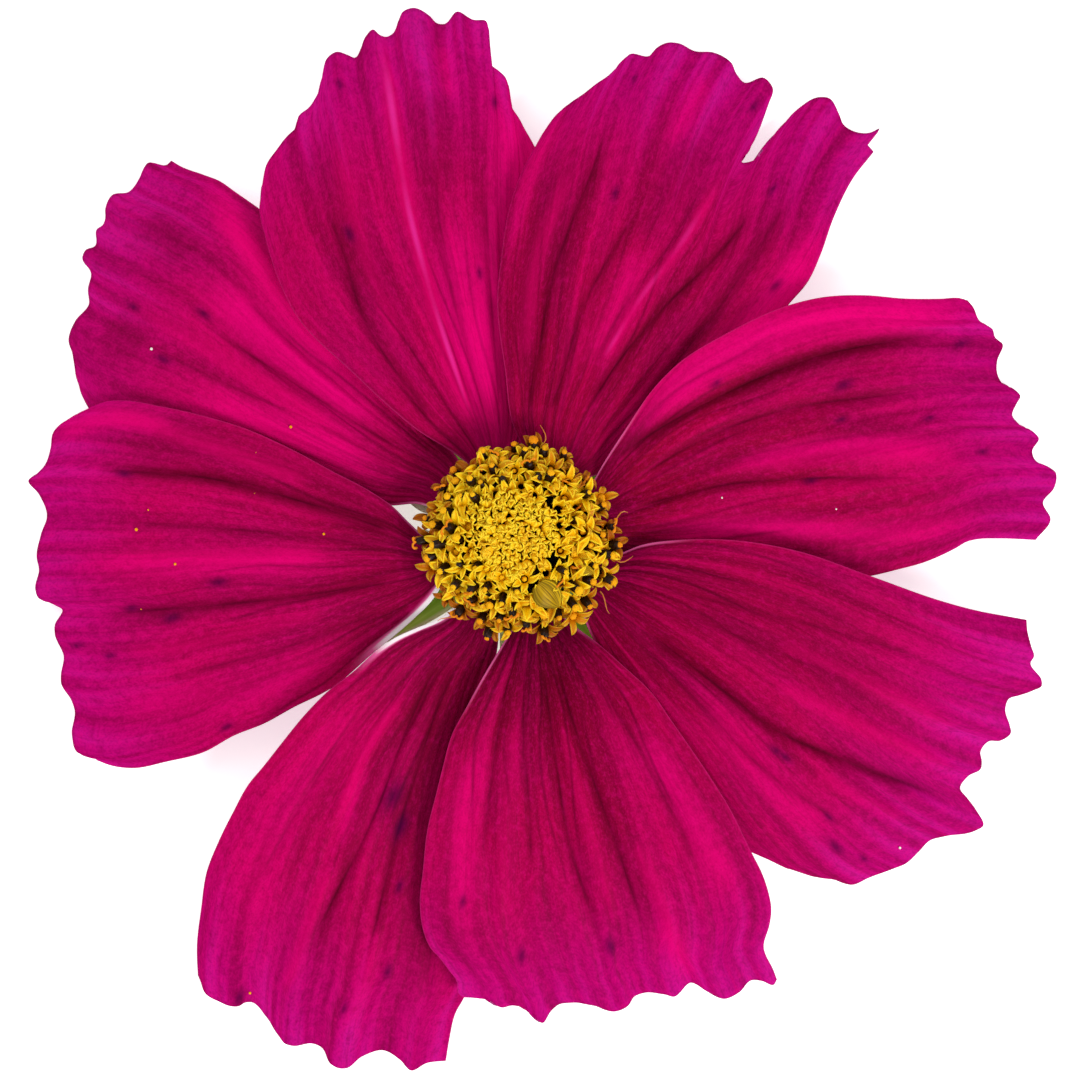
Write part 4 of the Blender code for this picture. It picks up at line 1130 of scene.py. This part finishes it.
def floret_places(rng):
    """Each floret's foot and head, and its age from 0 (bud, middle) to 1 (oldest, rim)."""
    places = []
    for k in range(BUD_COUNT + OPEN_COUNT):
        if k < BUD_COUNT:
            r = BUD_FIELD_RADIUS * math.sqrt((k + 0.5) / BUD_COUNT)
        else:
            share = (k - BUD_COUNT + 0.5) / OPEN_COUNT
            r = math.sqrt(BUD_FIELD_RADIUS**2 + (DISC_RADIUS**2 - BUD_FIELD_RADIUS**2) * share)
        a = k * GOLDEN_ANGLE
        toward_rim = 1 - (r / DISC_RADIUS) ** 2
        head = Vector((
            r * math.cos(a) + SPIRAL_CENTRE[0] * toward_rim + rng.uniform(-0.2, 0.2),
            r * math.sin(a) + SPIRAL_CENTRE[1] * toward_rim + rng.uniform(-0.2, 0.2),
            DISC_TOP_Z - DISC_FALL * r * r + rng.uniform(-0.2, 0.2),
        ))
        foot = Vector((head.x * FOOT_SHARE, head.y * FOOT_SHARE, RECEPTACLE_Z - 0.01 * r * r))
        places.append((foot, head, r / DISC_RADIUS))
    return places


def stood_at(head, foot, spin, size, extra_lean=0.0):
    """A matrix that stands a template at head, pointing away from foot and leaning further outwards."""
    tangent = Vector((-head.y, head.x, 0.0))
    turn = (head - foot).to_track_quat("Z", "Y").to_matrix().to_4x4()
    leaned = Matrix.Rotation(extra_lean, 4, tangent) @ turn
    return Matrix.Translation(head) @ leaned @ Matrix.Rotation(spin, 4, "Z") @ Matrix.Scale(size, 4)


# Each stage: throat radius, lobe lean and curl, lobe length, tube length.
FLORET_STAGES = {
    "bud": (0.29, 0.15, -1.5, 0.48, 1.8),
    "opening": (0.28, 0.45, 0.6, 0.80, 2.0),
    "open": (0.32, 0.7, 0.7, 0.95, 2.2),
    "old": (0.30, 0.75, 1.7, 0.84, 2.2),
}


def make_disc(materials):
    """The disc florets: buds packed in the middle, then stars that have just opened, and round them
    older ones, many with a dark anther tube that leans outwards under a knob of pollen."""
    rng = np.random.default_rng(FLORET_SEED)
    corollas = {}
    for stage, sizes in FLORET_STAGES.items():
        corollas[stage] = [corolla_template(rng, *sizes) for _ in range(COROLLA_KINDS)]
    knobs = [pollen_template(rng) for _ in range(KNOB_KINDS)]
    anther = anther_template()
    bud_copies, corolla_copies, anther_copies, knob_copies, arms = [], [], [], [], []
    for k, (foot, head, age) in enumerate(floret_places(rng)):
        spin = rng.uniform(0, 2 * math.pi)
        size = rng.uniform(0.88, 1.25)
        tint = rng.uniform(0, 1)
        lean = rng.uniform(-0.4, 0.4)
        if k < BUD_COUNT:
            place = stood_at(head, foot, spin, size * (0.95 + 0.5 * age), lean)
            bud_copies.append((corollas["bud"][k % COROLLA_KINDS], place, age, tint))
            continue
        stage = "opening" if age < OPENING_UNTIL else "open" if age < OPEN_UNTIL else "old"
        place = stood_at(head, foot, spin, size, 0.6 * lean)
        corolla_copies.append((corollas[stage][k % COROLLA_KINDS], place, age, tint))
        has_tube = age > TUBE_FROM and rng.uniform() < TUBE_CHANCE
        tube_lean = (TUBE_LEAN if has_tube else 0.0) + 0.6 * lean
        sunk = -0.2 - 0.45 * rng.uniform() if has_tube else -1.15
        aside = Matrix.Rotation(rng.uniform(-0.3, 0.3), 4, "X")
        tube = stood_at(head, foot, spin, size, tube_lean) @ aside @ Matrix.Translation((0, 0, sunk))
        top = tube @ Matrix.Translation((0, 0, ANTHER_TOP))
        if has_tube:
            anther_copies.append((anther, tube, age, tint))
        if rng.uniform() < KNOB_CHANCE:
            place = top @ Matrix.Scale(rng.uniform(0.5, 0.95), 4)
            knob_copies.append((knobs[k % KNOB_KINDS], place, age, tint))
        elif age > ARMS_FROM:
            arms.append((top, rng.uniform(0, math.pi)))
    outer = sorted(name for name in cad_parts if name.startswith("disc_floret"))
    thicken(show_copies("disc_buds", bud_copies, materials["bud"], ["disc_middle"]), BUD_WALL)
    thicken(show_copies("disc_corollas", corolla_copies, materials["corolla"], outer), COROLLA_WALL)
    show_copies("disc_anthers", anther_copies, materials["anther"])
    show_copies("disc_pollen", knob_copies, materials["pollen"])
    make_style_arms(arms, materials["style"], rng)


def make_paleae(material):
    """The scales between the florets. Most stand hidden, and a few broad ones lie out over the disc."""
    rng = np.random.default_rng(FLORET_SEED + 1)
    scale = palea_template()
    copies = []
    for foot, head, age in floret_places(rng)[BUD_COUNT::2]:
        way = head - foot
        turn = way.to_track_quat("Z", "Y")
        size = Vector((0.6, 0.6, way.length * 0.93))
        beside = foot + Vector((0.35, 0.2, 0.0))
        copies.append((scale, Matrix.LocRotScale(beside, turn, size), age, rng.uniform()))
    for foot, tip, width in BROAD_PALEAE:
        way = Vector(tip) - Vector(foot)
        turn = way.to_track_quat("Z", "Y")
        size = Vector((width, width, way.length))
        copies.append((scale, Matrix.LocRotScale(Vector(foot), turn, size), 0.5, 0.5))
    thicken(show_copies("disc_paleae", copies, material), PALEA_THICKNESS)


def tube_curve(name, thickness):
    """An empty curve whose splines are drawn as round tubes."""
    curve = bpy.data.curves.new(name, "CURVE")
    curve.dimensions = "3D"
    curve.bevel_depth = thickness / 2 * MM
    curve.bevel_resolution = 2
    curve.use_fill_caps = True
    return curve


def add_tube(curve, points, radii):
    spline = curve.splines.new("POLY")
    spline.points.add(len(points) - 1)
    for point, place, radius in zip(spline.points, points, radii):
        point.co = (*into_frame(np.array(place)), 1.0)
        point.radius = radius


def make_style_arms(arms, material, rng):
    """The curled pair of arms, each with a blunt hairy end, that an old floret's style opens."""
    curve = tube_curve("disc_style_arms", STYLE_ARM_THICKNESS)
    shares = [k / (STYLE_ARM_STEPS - 1) for k in range(STYLE_ARM_STEPS)]
    radii = [0.9 + 0.5 * smoothstep((share - 0.5) / 0.3) for share in shares[:-1]] + [0.6]
    for place, turn in arms:
        for side in (0, math.pi):
            curl = rng.uniform(2.2, 4.0)
            size = rng.uniform(0.15, 0.25)
            points = []
            for share in shares:
                a = curl * share
                local = Vector((size * (1 - math.cos(a)), 0, size * math.sin(a) * 1.1))
                local.rotate(Matrix.Rotation(turn + side, 3, "Z").to_quaternion())
                points.append(place @ local)
            add_tube(curve, points, radii)
    show("disc_style_arms", curve, [material])


def make_rim_hairs(material):
    """Fine bristles that poke out between the florets of the rim."""
    curve = tube_curve("disc_rim_hairs", RIM_HAIR_THICKNESS)
    rng = np.random.default_rng(FLORET_SEED + 2)
    for angle in RIM_HAIR_ANGLES:
        a = math.radians(angle)
        length = rng.uniform(0.9, 1.5)
        points = []
        for k in range(6):
            s = k / 5
            r = RIM_HAIR_START + length * s
            bearing = a + 0.06 * math.sin(3 * s + angle)
            height = 8.0 + 0.35 * length * s - 0.3 * s * s
            points.append((r * math.cos(bearing), r * math.sin(bearing), height))
        add_tube(curve, points, [1.0, 1.0, 0.9, 0.8, 0.6, 0.3])
    show("disc_rim_hairs", curve, [material])


def make_floret_material(name, base, layers, grain, roughness, translucency):
    """Waxy floret tissue or pollen: it turns from yellow to orange with age. Where its layers ask for it,
    it darkens low down as painted shade in the depths between the florets, and lightens along the lobe
    edges as painted highlight.
    """
    material, values = new_material(name, "age", "tint", "up", "edge")
    where = add_node(material, "ShaderNodeTexCoord").outputs["Object"]
    speckle = add_node(material, "ShaderNodeTexNoise", Vector=where, Scale=1000.0 / grain, Detail=2.0)
    values["speckle"] = speckle.outputs["Fac"]
    ripeness = add_node(
        material, "ShaderNodeMath", {"operation": "MULTIPLY_ADD"},
        i0=values["tint"], i1=0.35, i2=values["age"],
    )
    values["ripeness"] = ripeness.outputs[0]
    colour = painted(material, linear(base), values, layers)
    return finish_tissue(
        material, colour, translucency, (values["speckle"], 0.00004, 0.5),
        Roughness=roughness, Specular_IOR_Level=0.18,
    )


# Each floret finish: (name, colour, layers, size of its speckle in mm, roughness, translucency).
FLORET_FINISHES = {
    "bud": ("closed_floret_skin", "#FFD414", (
        ("speckle", 0.50, 0.30, 0.40, "#F4B000"),
        # Lighter yellow along the lobe edges: painted highlight.
        ("edge", 0.45, 1.00, 0.60, "#FFEC3C"),
        ("tint", 0.60, 1.00, 0.40, "#F2A800"),
        # Amber low on the lobes and near black down the tube: painted shade.
        ("up", 0.20, 0.00, 0.40, "#E89A00"),
        ("up", -0.04, -0.50, 1.00, "#3A2000"),
    ), 0.2, 0.5, 0.25),
    "corolla": ("open_floret_skin", "#FFD000", (
        ("ripeness", 0.85, 1.20, 1.00, "#EC8A00"),
        ("speckle", 0.50, 0.30, 0.40, "#E29200"),
        # Amber towards the throat: painted shade.
        ("up", 0.25, 0.00, 0.50, "#E69A00"),
        # Lighter yellow along the lobe edges: painted highlight.
        ("edge", 0.40, 1.00, 0.70, "#FFE830"),
        ("ripeness", 0.98, 1.25, 0.85, "#AC5000"),
        # Near black down the tube: painted shade.
        ("up", -0.03, -0.40, 1.00, "#241200"),
    ), 0.2, 0.45, 0.3),
    "anther": ("dark_anther_skin", "#140602", (
        ("speckle", 0.45, 0.70, 1.00, "#301406"),
    ), 0.15, 0.4, 0.0),
    "pollen": ("sticky_pollen", "#FFC60A", (
        ("ripeness", 0.80, 1.25, 0.90, "#EE8C00"),
        ("speckle", 0.50, 0.35, 0.50, "#D88A00"),
    ), 0.09, 0.75, 0.2),
    "style": ("style_arm_skin", "#E68A0C", (
        ("speckle", 0.50, 0.30, 0.50, "#D07000"),
    ), 0.15, 0.5, 0.2),
    "bristle": ("rim_bristle", "#C8742A", (
        ("speckle", 0.50, 0.30, 0.50, "#E0A060"),
    ), 0.4, 0.5, 0.2),
    "speck": ("pale_speck", "#F4ECE4", (
        ("speckle", 0.50, 0.30, 0.50, "#D8C8C0"),
    ), 0.09, 0.7, 0.2),
}


def make_palea_material():
    """Dry chaff: thin and gold, finely streaked with dark oil lines along it, darkened to olive towards one
    side as painted shade and lightened towards the other as painted light across its curve. The lines are
    0.1 mm apart on the real scale and are drawn a little coarser."""
    material, values = new_material("chaffy_scale", "tint", "up", "edge")
    where = add_node(
        material, "ShaderNodeCombineXYZ", X=values["edge"], Y=values["up"], Z=values["tint"]
    )
    add_patterns(material, values, where.outputs[0], {"streaks": ((7.0, 0.6, 9.0), 2)})
    layers = (
        # Darker olive towards one side of the curved scale and brighter gold towards the other: painted
        # shade and painted light.
        ("edge", 0.00, -1.00, 0.75, "#5A4C08"),
        ("edge", 0.20, 1.00, 0.70, "#F0C81C"),
        ("streaks", 0.50, 0.38, 0.70, "#4A3804"),
        ("streaks", 0.55, 0.72, 0.50, "#E4C02C"),
    )
    colour = painted(material, linear("#C89C04"), values, layers)
    return finish_tissue(material, colour, 0.25, Roughness=0.5, Specular_IOR_Level=0.15)


def drop_grains(name, places, surfaces, material):
    """Single grains lying on the petals."""
    bm = bmesh.new()
    bmesh.ops.create_icosphere(bm, subdivisions=2, radius=1.0)
    grain = template_of(bm)
    copies = []
    for x, y, radius in places:
        target = into_frame(np.array([x, y, 0.0]))
        heights = []
        for points in surfaces:
            flat = points.reshape(-1, 3)
            gaps = np.hypot(flat[:, 0] - target[0], flat[:, 1] - target[1])
            k = int(gaps.argmin())
            if gaps[k] < GRAIN_REACH * MM:
                heights.append(flat[k, 2] / MM)
        place = Vector((x, y, max(heights) + PETAL_THICKNESS / 2 + radius * 0.7))
        copies.append((grain, Matrix.Translation(place) @ Matrix.Scale(radius, 4), 0.9, 0.5))
    show_copies(name, copies, material)


# ---------------------------------------------------------------- surroundings


def make_floor():
    """A plain pale sheet that glows faintly, as one on a light box does, so that shadows stay soft."""
    corners = FLOOR_HALF_WIDTH * np.array([[(-1, -1, 0), (1, -1, 0)], [(-1, 1, 0), (1, 1, 0)]])
    mesh = grid_mesh("floor", corners)
    material, _ = new_material("backlit_matte_paper")
    shader = add_node(
        material, "ShaderNodeBsdfPrincipled", Base_Color=linear("#F7F7F5"), Roughness=0.9,
        Specular_IOR_Level=0.2, Emission_Color=linear("#FFFFFF"), Emission_Strength=FLOOR_GLOW,
    )
    add_node(material, "ShaderNodeOutputMaterial", Surface=shader.outputs[0])
    mesh.materials.append(material)
    add_object("floor", mesh)


def add_light(name, place, size, power):
    """A square soft white light, in metres and watts, that faces the flower."""
    data = bpy.data.lights.new(name, "AREA")
    data.shape = "SQUARE"
    data.size = size
    data.energy = power
    obj = add_object(name, data)
    obj.location = place
    obj.rotation_euler = (-Vector(place)).to_track_quat("-Z", "Y").to_euler()


def make_studio():
    add_light("key_light", (0.50, -0.55, 0.75), 0.40, 8.0)
    add_light("fill_light", (-0.70, 0.50, 0.80), 0.80, 4.0)
    world = bpy.data.worlds.new("studio")
    world.use_nodes = True
    sky = world.node_tree.nodes["Background"].inputs
    sky["Color"].default_value = (1, 1, 1, 1)
    sky["Strength"].default_value = WORLD_STRENGTH
    bpy.context.scene.world = world
    bpy.context.scene.view_settings.view_transform = "Standard"


def make_camera():
    data = bpy.data.cameras.new("camera")
    data.lens = CAMERA_LENS
    data.sensor_width = CAMERA_SENSOR
    distance = VIEW_WIDTH * MM * CAMERA_LENS / CAMERA_SENSOR
    data.clip_start = 0.01
    data.clip_end = 10.0
    camera = add_object("camera", data)
    centre = into_frame(np.array([*VIEW_CENTRE, 1.0]))
    camera.location = (centre[0], centre[1], centre[2] + distance)
    bpy.context.scene.camera = camera


def main():
    face = make_petal_material("cosmos_petal_face", PETAL_FACE)
    back = make_petal_material("cosmos_petal_back", PETAL_BACK)
    surfaces = [make_petal(name, petal, [face, back, face]) for name, petal in PETALS.items()]

    green = make_bract_material("green_bract_skin", "#A8D04C", GREEN_BRACT_LAYERS, 0.35, 0.45)
    papery = make_bract_material("papery_bract_skin", "#B8AC74", PAPERY_BRACT_LAYERS, 0.25, 0.35)
    for k in range(1, 9):
        make_bract(f"outer_bract_{k}", OUTER_BRACT, [green], k)
        make_bract(f"inner_bract_{k}", INNER_BRACT, [papery], k + 10)
    make_stem(make_stem_material())

    finishes = {key: make_floret_material(*finish) for key, finish in FLORET_FINISHES.items()}
    make_disc(finishes)
    make_paleae(make_palea_material())
    make_rim_hairs(finishes["bristle"])
    drop_grains("dropped_pollen", DROPPED_POLLEN, surfaces, finishes["pollen"])
    drop_grains("pale_specks", PALE_SPECKS, surfaces, finishes["speck"])
    make_floor()
    make_studio()
    make_camera()


main()
